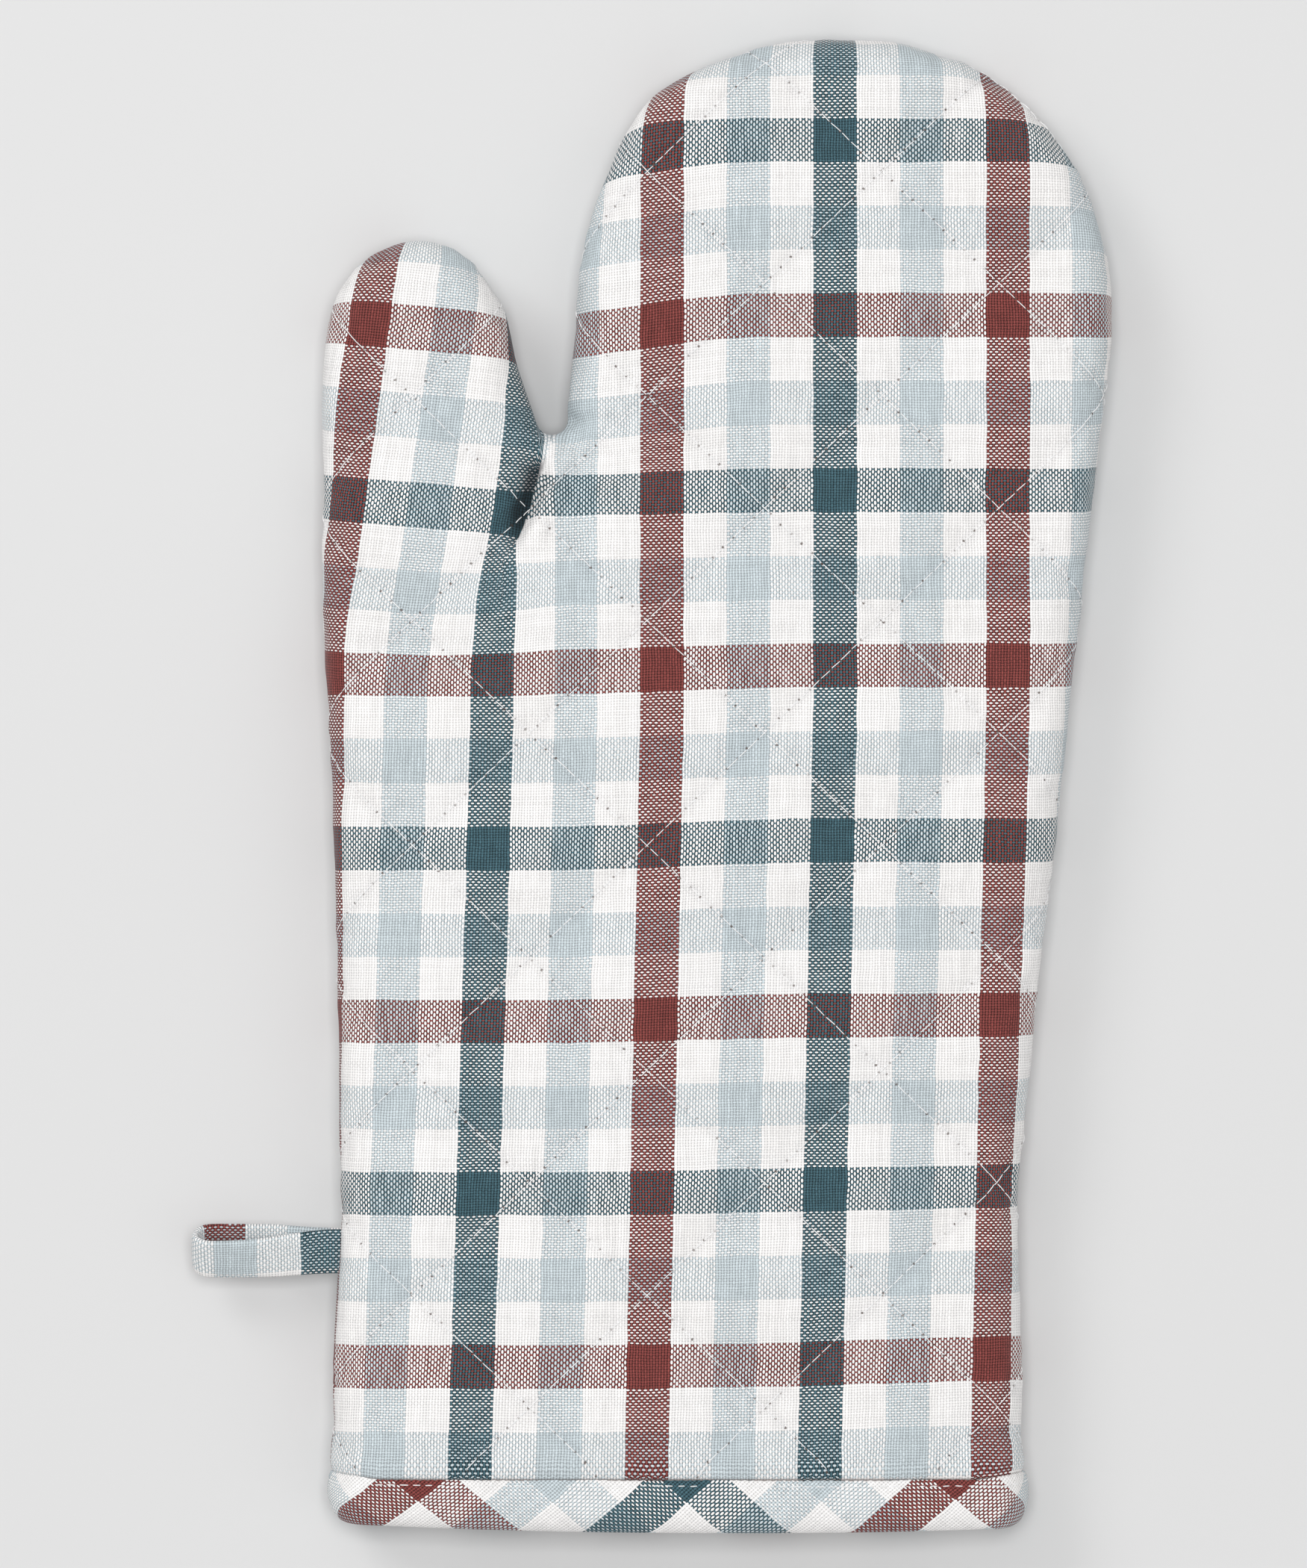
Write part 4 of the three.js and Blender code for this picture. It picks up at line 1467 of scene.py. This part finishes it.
@dataclass
class QuiltedPanel:
    """One side of the mitt: cover, wadding and lining, quilted together and parted into hand and thumb
    pieces.
    """

    face: Face
    outline: Silhouette
    section: Section
    quilting: Quilting
    folds: Folds
    crotch: Crotch
    drift: Drift
    finishes: Finishes
    stitches: StitchMaker
    cover_cloth: float = 0.6 * MM
    wadding_depth: float = 1.3 * MM
    wadding_draw: float = 1.7 * MM
    wadding_press: float = 1.3
    lining_depth: float = 5.2 * MM
    lining_draw: float = 1.0 * MM
    lining_press: float = 0.9
    lining_cloth: float = 0.5 * MM
    layer_gap: float = 0.3 * MM
    inner_widening: float = 2.2
    binding_width: float = 12 * MM
    binding_pinch: float = 1.1 * MM
    hidden_start: float = 4.4 * MM
    rim_swell: float = 0.9 * MM
    overhang: float = 1.3 * MM
    stitch_share: float = 0.95
    stitch_thickness: float = 0.22 * MM
    cover_splits: int = 15
    inner_splits: int = 12
    puff_frames: int = 16
    puff_limit: float = 2.0 * MM
    puffing: dict[str, float] = field(default_factory=lambda: {
        "quality": 5,
        "mass": 0.8,
        "tension_stiffness": 40,
        "compression_stiffness": 20,
        "shear_stiffness": 10,
        "bending_stiffness": 0.5,
        "air_damping": 4,
    })
    creases: tuple[Crease, ...] = (
        Crease((5 * MM, -1 * MM), (25 * MM, -15 * MM), 1.1 * MM, 2.6 * MM),
        Crease((3 * MM, 3 * MM), (19 * MM, 1 * MM), 1.5 * MM, 1.6 * MM),
        Crease((5 * MM, 15 * MM), (22 * MM, 24 * MM), 0.8 * MM, 3.0 * MM),
        Crease((-9 * MM, 8 * MM), (-24 * MM, -2 * MM), 0.7 * MM, 3.0 * MM),
    )

    def build(self) -> None:
        """Make and dress every piece of the panel."""
        grid = PanelGrid(self.outline, self.section, self.quilting, self.cover_splits, self.hidden_start)
        cover = self._cover(grid)
        self._quilting_stitches(cover)
        outer = vertex_places(cover.data)
        inner = outer - vertex_normals(cover.data) * self.cover_cloth
        self._parted(cover.data, outer, inner, Layer.COVER, self.finishes.quilted)
        bpy.data.objects.remove(cover)
        coarse = PanelGrid(self.outline, self.section, self.quilting, self.inner_splits, self.hidden_start)
        self._inner(coarse, Layer.WADDING, self.finishes.wadding)
        self._inner(coarse, Layer.LINING, self.finishes.lining)

    def _stand(self, places: Array) -> Array:
        """Turn front-panel places into this panel's places in the frame."""
        return places * [1, 1, self.face.value] + [0, 0, middle_height()]

    def _turned(self, faces: list) -> list:
        """Faces wound so that they look out of this panel."""
        return faces if self.face is Face.FRONT else [face[::-1] for face in faces]

    def _above(self, flat: Array) -> Array:
        """How far above the binding's top edge each place lies."""
        return flat[:, 1] - self.outline.cuff_middle[1] - self.binding_width

    def _pinch(self, flat: Array, start: float) -> Array:
        """How far the binding presses each place of a layer in."""
        return self.binding_pinch * (1 - ease((self._above(flat) - start) / (2.2 * MM)))

    def _rim(self, flat: Array) -> Array:
        """How far the padded edge above the binding swells out."""
        above = self._above(flat)
        rise = ease((above + 0.4 * MM) / (1.8 * MM))
        return self.rim_swell * rise * (1 - ease((above - 3 * MM) / (9 * MM)))

    def _cover(self, grid: PanelGrid) -> Object:
        """The cover's outer skin, puffed between its rows of quilting."""
        depth = self._pinch(grid.flat, -0.6 * MM) - self._rim(grid.flat)
        off = self.quilting.distance(grid.flat)
        pillow = self.quilting.groove * np.exp(-off / self.quilting.groove_reach)
        rough = grid.surface(depth, 0.0, self.section.seam_groove)
        skin = mesh_object("skin", self._stand(rough), self._turned(grid.faces), {"Quilt": grid.flat})
        normals = vertex_normals(skin.data)
        pillow *= self._free(grid.flat) * (0.2 + 0.8 * np.abs(normals[:, 2]) ** 1.5)
        move_vertices(skin.data, vertex_places(skin.data) - normals * pillow[:, None])
        bound = self._above(grid.flat) < 3 * MM
        skin = self._puff(skin, grid.sewn | bound)
        return self._refine(skin)

    def _pressed(self, flat: Array, widening: float = 1.0) -> Array:
        """How far the folds at the crotch press each place in."""
        shallow = sum(crease.press(flat, self.outline.fork) for crease in self.creases)
        return self.crotch.press(flat, widening) + shallow

    def _free(self, flat: Array) -> Array:
        """1 where the quilting may draw the cloth in, 0 at the cuff."""
        return ease(self._above(flat) / (6 * MM))

    def _puff(self, skin: Object, sewn: Array) -> Object:
        """Let the wadding push the cloth out between the sewn rows, by a short cloth simulation.

        Args:
            skin: the cover's skin.
            sewn: which of its vertices are held.

        Returns:
            The settled skin, in place of the first one.
        """
        scene = bpy.context.scene
        held = skin.vertex_groups.new(name="sewn")
        held.add([int(i) for i in np.nonzero(sewn)[0]], 1.0, "REPLACE")
        cloth = skin.modifiers.new("settle", "CLOTH")
        cloth.settings.vertex_group_mass = "sewn"
        for setting, value in self.puffing.items():
            setattr(cloth.settings, setting, value)
        cloth.collision_settings.use_collision = False
        cloth.collision_settings.use_self_collision = False
        scene.gravity = (0, 0, 9.81 * self.face.value)
        cloth.point_cache.frame_start = 1
        cloth.point_cache.frame_end = self.puff_frames
        before = vertex_places(skin.data)
        for step in range(1, self.puff_frames + 1):
            scene.frame_set(step)
        done = skin.evaluated_get(bpy.context.evaluated_depsgraph_get())
        after = vertex_places(done.to_mesh())
        done.to_mesh_clear()
        scene.frame_set(1)
        skin.modifiers.remove(cloth)
        move = after - before
        length = np.linalg.norm(move, axis=1, keepdims=True)
        places = before + move * np.minimum(1.0, self.puff_limit / np.maximum(length, 1e-9))
        move_vertices(skin.data, places)
        moved = length[np.unique([v for p in skin.data.polygons for v in p.vertices])] / MM
        log.info("%s cover settled, moving %.2f mm in the middle, %.2f mm at most",
                 self.face.label, float(np.median(moved)), float(moved.max()))
        return skin

    def _refine(self, skin: Object) -> Object:
        """Halve the net's squares, then add the small puckers along the rows and keep off the floor."""
        smooth = skin.modifiers.new("refine", "SUBSURF")
        smooth.levels = smooth.render_levels = 1
        smooth.boundary_smooth = "PRESERVE_CORNERS"
        done = skin.evaluated_get(bpy.context.evaluated_depsgraph_get())
        mesh = bpy.data.meshes.new_from_object(done)
        bpy.data.objects.remove(skin)
        flat = vertex_map(mesh, "Quilt")
        places, normals = vertex_places(mesh), vertex_normals(mesh)
        off = self.quilting.distance(flat)
        counts = self.quilting.counts(flat)
        along = counts[:, ::-1] * self.quilting.side
        nearest = np.abs(counts - np.round(counts)).argmin(axis=1)
        along = along[np.arange(len(flat)), nearest]
        turn = 2 * math.pi * along / (2.1 * self.quilting.stitch_pitch)
        ripple = np.sin(turn + 2.5 * fabric_noise(flat, 11 * MM, 4.0))
        pucker = 0.16 * MM * ripple * fade(off - 1.4 * MM, 1.9 * MM)
        rumple = 0.30 * MM * fabric_noise(flat, 14 * MM, 6.0)
        rumple += 0.12 * MM * fabric_noise(flat, 5 * MM, 8.0)
        places += normals * ((pucker + rumple) * self._free(flat) - self._pressed(flat))[:, None]
        from_side = self.outline.cuff_width / 2 - np.abs(flat[:, 0] - self.outline.cuff_middle[0])
        hanging = ease(from_side / (14 * MM)) * fade(self._above(flat) - 1.3 * MM, 1.3 * MM)
        places[:, 1] -= self.overhang * hanging
        if self.face is Face.BACK:
            places[:, 2] = np.maximum(places[:, 2], 0.15 * MM)
        move_vertices(mesh, places)
        refined = bpy.data.objects.new("refined_skin", mesh)
        bpy.context.scene.collection.objects.link(refined)
        return refined

    def _parted(
        self, mesh: Mesh, outer: Array, inner: Array, layer: Layer, finish: Material
    ) -> None:
        """Close outer and inner skins into solid pieces for the hand and the thumb."""
        flat = vertex_map(mesh, "Quilt")
        woven = self.drift.weave(flat) if layer is Layer.COVER else {"Weave": flat}
        normals = vertex_normals(mesh)
        faces = [tuple(p.vertices) for p in mesh.polygons]
        middles = np.array([flat[list(face)].mean(axis=0) for face in faces])
        thumb = self.folds.is_thumb(middles)
        for region in Region:
            chosen = [face for face, mine in zip(faces, thumb) if mine == (region is Region.THUMB)]
            used = np.unique([v for face in chosen for v in face])
            number = {int(v): i for i, v in enumerate(used)}
            front = [tuple(number[v] for v in face) for face in chosen]
            count = len(used)
            edges = {(a, b) for face in front for a, b in zip(face, face[1:] + face[:1])}
            rim = [(b, a, a + count, b + count) for a, b in edges if (b, a) not in edges]
            back = [tuple(v + count for v in reversed(face)) for face in front]
            name = f"{self.face.label}_{region.value}_{layer.name.lower()}"
            maps = {title: np.vstack([rows[used]] * 2) for title, rows in {"Quilt": flat, **woven}.items()}
            piece = mesh_object(name, np.vstack([outer[used], inner[used]]), front + back + rim, maps)
            shades = np.vstack([normals[used], -normals[used]])
            piece.data.normals_split_custom_set_from_vertices(shades.tolist())
            piece.data.materials.append(finish)
            self._finish(piece, layer, region)

    def _finish(self, piece: Object, layer: Layer, region: Region) -> None:
        """Hide the CAD parts that a piece replaces, and bake its placement."""
        stretches = ("palm", "knuckles", "fingers") if region is Region.HAND else ("thumb_root", "thumb")
        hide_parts(*(f"{self.face.label}_{layer.value}_{stretch}" for stretch in stretches))
        self.folds.bend(piece, region)
        log.info("%s: %d faces", piece.name, len(piece.data.polygons))

    def _inner(self, grid: PanelGrid, layer: Layer, finish: Material) -> None:
        """The wadding or the lining, drawn together where the quilting passes through."""
        drawn = fade(self.quilting.distance(grid.flat), self.quilting.groove_reach)
        drawn *= self._free(grid.flat)
        pressed = np.maximum(self._pressed(grid.flat, self.inner_widening), 0)
        pinch = self._pinch(grid.flat, 1.5 * MM)
        lining = self.lining_depth - self.lining_draw * drawn + pressed * self.lining_press - pinch
        if layer is Layer.WADDING:
            last = lining - self.layer_gap
            first = self.wadding_depth + self.wadding_draw * drawn
            first = np.minimum(first + pressed * self.wadding_press + pinch, last - self.layer_gap)
        else:
            first, last = lining, lining + self.lining_cloth
        outer, inner = (self._stand(grid.surface(depth, 0.3 * MM, 0.0)) for depth in (first, last))
        skin = mesh_object("inner", outer, self._turned(grid.faces), {"Quilt": grid.flat})
        self._parted(skin.data, vertex_places(skin.data), inner, layer, finish)
        bpy.data.objects.remove(skin)

    def _quilting_stitches(self, cover: Object) -> None:
        """Sew the rows of quilting on the cover's skin."""
        row = self._rows_on(cover.data)
        thumb = self.folds.is_thumb(row.places)
        for region in Region:
            mine = thumb == (region is Region.THUMB)
            part = StitchRow(row.places[mine], row.ways[mine], row.outs[mine])
            name = f"{self.face.label}_{region.value}_quilting"
            length = self.stitch_share * self.quilting.stitch_pitch
            sewn = self.stitches.sew(name, part, length, self.stitch_thickness)
            self.folds.bend(sewn, region)
            log.info("%s: %d stitches", name, len(part.places))

    def _rows_on(self, mesh: Mesh) -> StitchRow:
        """Where each quilting stitch lies on a skin, found through the flat pattern."""
        flat = vertex_map(mesh, "Quilt")
        places, normals = vertex_places(mesh), vertex_normals(mesh)
        faces = [tuple(p.vertices) for p in mesh.polygons]
        pattern = BVHTree.FromPolygons([(*p, 0.0) for p in flat], faces)
        counts = self.quilting.counts(flat)
        low, high = np.floor(counts.min(axis=0)), np.ceil(counts.max(axis=0))
        pitch = self.quilting.stitch_pitch / self.quilting.side
        spots, ways = [], []
        for family in range(2):
            for line in range(int(low[family]), int(high[family]) + 1):
                first = math.floor(low[1 - family] / pitch)
                last = math.ceil(high[1 - family] / pitch)
                for step in range(first, last):
                    spot = np.zeros(2)
                    spot[family] = line
                    spot[1 - family] = (step + 0.5) * pitch
                    ahead = spot.copy()
                    ahead[1 - family] += 0.2 * pitch
                    spots.append(self.quilting.place(spot))
                    ways.append(self.quilting.place(ahead))
        rows: list[tuple[Array, Array, Array]] = []
        lowest = self.outline.cuff_middle[1] + self.binding_width + 1.2 * MM
        for spot, ahead in zip(spots, ways):
            here, out = self._lift(pattern, faces, flat, places, normals, spot)
            there, _ = self._lift(pattern, faces, flat, places, normals, ahead)
            if here is None or there is None or here[1] < lowest:
                continue
            rows.append((here, unit(there - here), out))
        return StitchRow(*(np.array(column) for column in zip(*rows)))

    @staticmethod
    def _lift(
        pattern: BVHTree,
        faces: list,
        flat: Array,
        places: Array,
        normals: Array,
        spot: Array,
    ) -> tuple[Array | None, Array | None]:
        """The place and outward direction on a skin over a spot of the flat pattern."""
        hit, _, index, _ = pattern.find_nearest((*spot, 0.0), 0.2 * MM)
        if hit is None:
            return None, None
        corners = list(faces[index])
        middle, centre = flat[corners].mean(axis=0), places[corners].mean(axis=0)
        across, *_ = np.linalg.lstsq(flat[corners] - middle, places[corners] - centre, rcond=None)
        return centre + (spot - middle) @ across, unit(normals[corners].mean(axis=0))


# Cuff and loop


@dataclass
class CuffBinding:
    """The bias strip folded over the cuff's raw edge, with its row of topstitching."""

    outline: Silhouette
    section: Section
    finishes: Finishes
    stitches: StitchMaker
    width: float = 12 * MM
    cloth: float = 0.8 * MM
    panel: float = 5.7 * MM
    fold_length: float = 4.6 * MM
    stitch_height: float = 10.2 * MM
    stitch_pitch: float = 2.7 * MM
    stitch_length: float = 1.8 * MM
    net: float = 1.2 * MM
    bias: float = 0.648
    corner_reach: float = 7 * MM
    corner_rise: float = 2.6 * MM
    bow: float = 4.7 * MM
    bow_middle: float = 13 * MM
    top_dip: float = 0.7 * MM
    russet_middle: Pair = (-50.2 * MM, 13.0 * MM)
    russet_crossing: Pair = (1.8 * MM, 25.3 * MM)

    def build(self) -> None:
        """Make and dress the strip and its stitches."""
        length, _ = self.section.arc()
        self.quarter = float(length[-1])
        self.straight = self.outline.cuff_width - 2 * self.section.edge_round
        self.around = 4 * self.quarter + 2 * self.straight
        strip = self._strip()
        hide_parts("cuff_binding")
        *_, along = self._profile()
        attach(strip, "mitt_body")
        self._topstitch("cuff_topstitch", 0.0, 1.0)
        self._topstitch("cuff_inside_stitch", self.panel, -1.0)

    def _place(self, around: Array, up: Array, depth: Array) -> Array:
        """A place on the cuff.

        Args:
            around: distance round the cuff from the side seam away from the thumb, over the front.
            up: height above the cuff's edge.
            depth: depth below the panel's face.

        Returns:
            Places in the frame.
        """
        back = around > self.around / 2
        c = np.where(back, self.around - around, around)
        length, angle = self.section.arc()
        left = c > self.quarter + self.straight
        on_curve = np.where(left, 2 * self.quarter + self.straight - c, np.minimum(c, self.quarter))
        a = np.interp(on_curve, length, angle)
        middle = self.straight / 2
        radius = self.section.edge_round - depth
        x = np.where(left, -middle - radius * np.cos(a), middle + radius * np.cos(a))
        flat_x = middle - (c - self.quarter)
        flat = (c > self.quarter) & ~left
        z = (self.section.half - depth - self.section.crown) * np.sin(a)
        inward = (middle - np.abs(flat_x)) / self.section.crown_reach
        rise = self.section.crown * (1 - fade(inward, 1))
        x = np.where(flat, flat_x, x)
        z = np.where(flat, self.section.half - depth - self.section.crown + rise, z)
        z = np.where(back, -z, z)
        to_corner = middle + self.section.edge_round - np.abs(x)
        corner = np.clip(1 - to_corner / self.corner_reach, 0, 1)
        bow = self.bow * ((x - self.bow_middle) / self.straight) ** 2
        top = ease(up / self.width)
        lift = self.corner_rise * (1 - np.sqrt(1 - corner**2)) * (1 - 0.6 * top) + bow * (1 - top)
        up = up + lift
        centre = np.array([*self.outline.cuff_middle, middle_height()])
        return centre + np.column_stack([x, up, z])

    def _profile(self) -> tuple[Array, Array, Array]:
        """The strip's section: height, depth, and distance from the outer leg's top, as a closed row."""
        radius = self.panel / 2
        steps = np.linspace(0, math.pi, 15)
        leg = np.arange(self.width, self.fold_length, -self.net)

        def path(skin: float) -> Array:
            """One side of the folded strip, at a depth inside its outer skin."""
            turn = np.column_stack([
                self.fold_length - (self.fold_length - skin) * np.sin(steps),
                radius - (radius - skin) * np.cos(steps),
            ])
            down = np.column_stack([leg, np.full(len(leg), skin)])
            up = np.column_stack([leg[::-1], np.full(len(leg), self.panel - skin)])
            return np.vstack([down, turn, up])

        outer, inner = path(0.0), path(self.cloth)
        end = 0.3 * MM
        half = self.cloth / 2
        caps = np.array([[self.width + end, self.panel - half], [self.width + end, half]])
        row = np.vstack([outer, caps[:1], inner[::-1], caps[1:]])
        travelled = row_lengths(outer)
        along = np.concatenate([travelled, travelled[-1:], travelled[::-1], [0.0]])
        return row[:, 0], row[:, 1], along

    def _strip(self) -> Object:
        """The strip itself, a little uneven along its folds and drawn in by the stitches."""
        up, depth, along = self._profile()
        count = round(self.around / self.net)
        around = np.arange(count) * self.around / count
        n = len(up)
        c, u, e, s = (g.ravel() for g in (
            np.repeat(around, n).reshape(count, n), np.tile(up, (count, 1)),
            np.tile(depth, (count, 1)), np.tile(along, (count, 1)),
        ))
        ring = self._place(c, u, e)
        waver = fabric_noise(ring[:, :2] * [1, 0], 16 * MM, 11.0) * 0.45 * MM * (u / self.width)
        outside = np.where(e < self.panel / 2, 1.0, -1.0)
        drawn = 0.34 * MM * fade(u - self.stitch_height, 0.9 * MM)
        ripple = 0.10 * MM * np.cos(2 * math.pi * c / self.stitch_pitch)
        ripple *= fade(u - self.stitch_height, 2.2 * MM)
        puff = -0.25 * MM * fade(u - 0.5 * self.width, 3 * MM)
        puff += self.top_dip * ease((u - self.stitch_height - 0.5 * MM) / (1.6 * MM))
        slack = 0.25 * MM * fabric_noise(ring, 7 * MM, 12.0)
        places = self._place(c, u + waver, e + outside * (drawn + ripple + puff + slack))
        low = places[:, 2] < 0.1 * MM
        places[low, 2] = 0.1 * MM
        strip = mesh_object("cuff_bias_binding", places, tube_faces(count, n, True), {})
        self._map(strip, c, s)
        face_outwards(strip.data)
        strip.data.materials.append(self.finishes.bias)
        return strip

    def _map(self, strip: Object, around: Array, along: Array) -> None:
        """Lay the plaid on the strip at 45 degrees, unbroken where the strip closes."""
        mesh = strip.data
        corners = np.zeros(len(mesh.loops), np.int32)
        mesh.loops.foreach_get("vertex_index", corners)
        c = around[corners].reshape(-1, 4).copy()
        c[(c < self.around * 0.1) & (c.max(axis=1, keepdims=True) > self.around * 0.9)] += self.around
        middle_x = self.russet_middle[0] - self.outline.cuff_middle[0]
        start = self.quarter + self.straight / 2 - middle_x
        forward = (start - c.ravel()) * self.bias
        across = (self.width - along[corners] - self.russet_middle[1]) * math.sqrt(0.5)
        places = np.column_stack([
            self.russet_crossing[0] + forward - across,
            self.russet_crossing[1] + forward + across,
        ])
        mesh.uv_layers.new(name="Weave").data.foreach_set("uv", places.astype(np.float32).ravel())

    def _topstitch(self, name: str, depth: float, side: float) -> None:
        """Sew one visible row of the stitches that hold the strip."""
        count = round(self.around / self.stitch_pitch)
        around = (np.arange(count) + 0.5) * self.around / count
        waver = fabric_noise(np.column_stack([around, around * 0]), 20 * MM, 13.0)
        up = self.stitch_height + 0.25 * MM * waver
        sunk = depth + side * 0.22 * MM
        here = self._place(around, up, np.full(count, sunk))
        ahead = self._place((around + 0.3 * MM) % self.around, up, np.full(count, sunk))
        above = self._place(around, up, np.full(count, sunk - side * 0.5 * MM))
        row = StitchRow(here, unit(ahead - here), unit(above - here))
        sewn = self.stitches.sew(name, row, self.stitch_length, 0.25 * MM)
        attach(sewn, "mitt_body")
        log.info("%s: %d stitches", name, count)


@dataclass
class HangingLoop:
    """A folded strip of plaid, doubled back on itself and turning a little towards its end."""

    finishes: Finishes
    width: float = 9.6 * MM
    thickness: float = 1.7 * MM
    rooted: float = 3.5 * MM
    root_gap: float = 0.9 * MM
    end_gap: float = 3.3 * MM
    parting: float = 15 * MM
    root_turn: float = math.radians(9)
    end_turn: float = math.radians(31)
    net: float = 0.9 * MM
    teal_middle: float = 38.8 * MM
    teal_along: float = 6.9 * MM
    edge_stripe: float = 1.3 * MM
    sky_edge: float = 39.3 * MM

    def build(self) -> None:
        """Make and dress the loop."""
        low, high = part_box("hanging_loop")
        self.seam = high.x
        self.far = low.x + self.thickness / 2 + self.end_gap
        self.middle = Vector((low + high) / 2)
        loop = self._strip()
        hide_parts("hanging_loop", "loop_tail")
        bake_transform(loop)
        log.info("%s: %d faces", loop.name, len(loop.data.polygons))

    def _route(self) -> Array:
        """The strip's middle line: out along the front ply, round the end and back, as x and height."""
        start = self.seam + self.rooted
        out = np.arange(start, self.far, -self.net)
        away = (self.seam - out) / self.parting
        height = self.root_gap + (self.end_gap - self.root_gap) * ease(away)
        turn = np.linspace(0, math.pi, 16)[1:-1]
        end = np.column_stack([self.far - self.end_gap * np.sin(turn), self.end_gap * np.cos(turn)])
        front = np.column_stack([out, height])
        return np.vstack([front, end, front[::-1] * [1, -1]])

    def _strip(self) -> Object:
        """The strip swept along its route, with its two cut ends closed."""
        route = resample(self._route(), self.net)
        travelled = row_lengths(route)
        way = unit(np.gradient(route, axis=0))
        out = np.column_stack([-way[:, 1], way[:, 0]]) * -1
        angle = np.linspace(0, 2 * math.pi, 28, endpoint=False)
        across = np.sign(np.cos(angle)) * np.abs(np.cos(angle)) ** 0.45 * self.width / 2
        thick = np.sign(np.sin(angle)) * np.abs(np.sin(angle)) ** 0.7 * self.thickness / 2
        count, n = len(route), len(angle)
        x = route[:, 0, None] + out[:, 0, None] * thick
        h = route[:, 1, None] + out[:, 1, None] * thick
        w = np.tile(across, (count, 1))
        turn = self.root_turn + (self.end_turn - self.root_turn) * ease((self.seam - x) / (24 * MM))
        w = w * (1 - 0.05 * ease((self.seam - x) / (24 * MM)))
        y = self.middle.y + w * np.cos(turn) - h * np.sin(turn)
        z = self.middle.z + w * np.sin(turn) + h * np.cos(turn)
        places = np.stack([x, y, z], axis=-1).reshape(-1, 3)
        places += (fabric_noise(places, 6 * MM, 21.0) * 0.22 * MM)[:, None] * np.array([0.3, 0.6, 0.8])
        faces = tube_faces(count, n, False)
        faces += [tuple(range(n))[::-1], tuple((count - 1) * n + k for k in range(n))]
        woven = np.column_stack([
            np.repeat(travelled - self.rooted - self.teal_along + self.teal_middle + 3.5 * MM, n),
            np.tile(across + self.width / 2 - self.edge_stripe + self.sky_edge, count),
        ])
        loop = mesh_object("hanging_loop_strip", places, faces, {"Weave": woven})
        face_outwards(loop.data)
        loop.data.materials.append(self.finishes.loop)
        return loop


# Studio


@dataclass
class Studio:
    """A pale floor, soft light from all round and a camera looking straight down."""

    finishes: Finishes
    frame_height: float = 336 * MM
    distance: float = 2.6
    middle_height: float = 12 * MM
    film: float = 36
    world_strength: float = 0.46

    def build(self) -> None:
        """Make the floor, the lights and the camera."""
        self._floor()
        self._light("key", (-1.2, 1.1, 1.4), 0.9, 11)
        self._light("fill", (1.1, -0.5, 1.5), 1.4, 2)
        self._light("top", (0.0, 0.1, 2.2), 0.7, 22)
        world = bpy.data.worlds.new("studio")
        world.use_nodes = True
        colour, strength, *_ = world.node_tree.nodes["Background"].inputs
        colour.default_value = (1, 1, 1, 1)
        strength.default_value = self.world_strength
        scene = bpy.context.scene
        scene.world = world
        scene.view_settings.view_transform = "Standard"
        scene.view_settings.look = "None"
        lens = bpy.data.cameras.new("camera")
        camera = bpy.data.objects.new("camera", lens)
        scene.collection.objects.link(camera)
        camera.location = (0, 0, self.distance)
        lens.sensor_fit = "VERTICAL"
        lens.sensor_height = self.film
        lens.lens = self.film * (self.distance - self.middle_height) / self.frame_height
        lens.clip_start, lens.clip_end = 0.05, 20
        scene.camera = camera

    def _floor(self) -> None:
        """A wide flat floor."""
        side = 4.0
        corners = np.array([(-side, -side, 0), (side, -side, 0), (side, side, 0), (-side, side, 0)], float)
        floor = mesh_object("floor", corners, [(0, 1, 2, 3)], {})
        floor.data.materials.append(self.finishes.floor)

    def _light(self, name: str, place: tuple[float, float, float], size: float, power: float) -> None:
        """A square soft light that looks at the middle of the mitt."""
        data = bpy.data.lights.new(name, "AREA")
        data.size = size
        data.energy = power
        light = bpy.data.objects.new(name, data)
        light.location = place
        light.rotation_euler = (-Vector(place)).to_track_quat("-Z", "Y").to_euler()
        bpy.context.scene.collection.objects.link(light)


def main() -> None:
    """Build the mitt's pieces in order and put them in the studio."""
    logging.basicConfig(level=logging.INFO, format="%(message)s")
    low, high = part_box("cuff_binding")
    outline, section, quilting = Silhouette(), Section(high.z - low.z), Quilting()
    folds, crotch = Folds(outline), Crotch(outline)
    drift = Drift(crotch)
    finishes = Finishes(quilting)
    Studio(finishes).build()
    stitches = StitchMaker(finishes)
    for face in Face:
        QuiltedPanel(face, outline, section, quilting, folds, crotch, drift, finishes, stitches).build()
    CuffBinding(outline, section, finishes, stitches).build()
    HangingLoop(finishes).build()


if __name__ == "__main__":
    main()
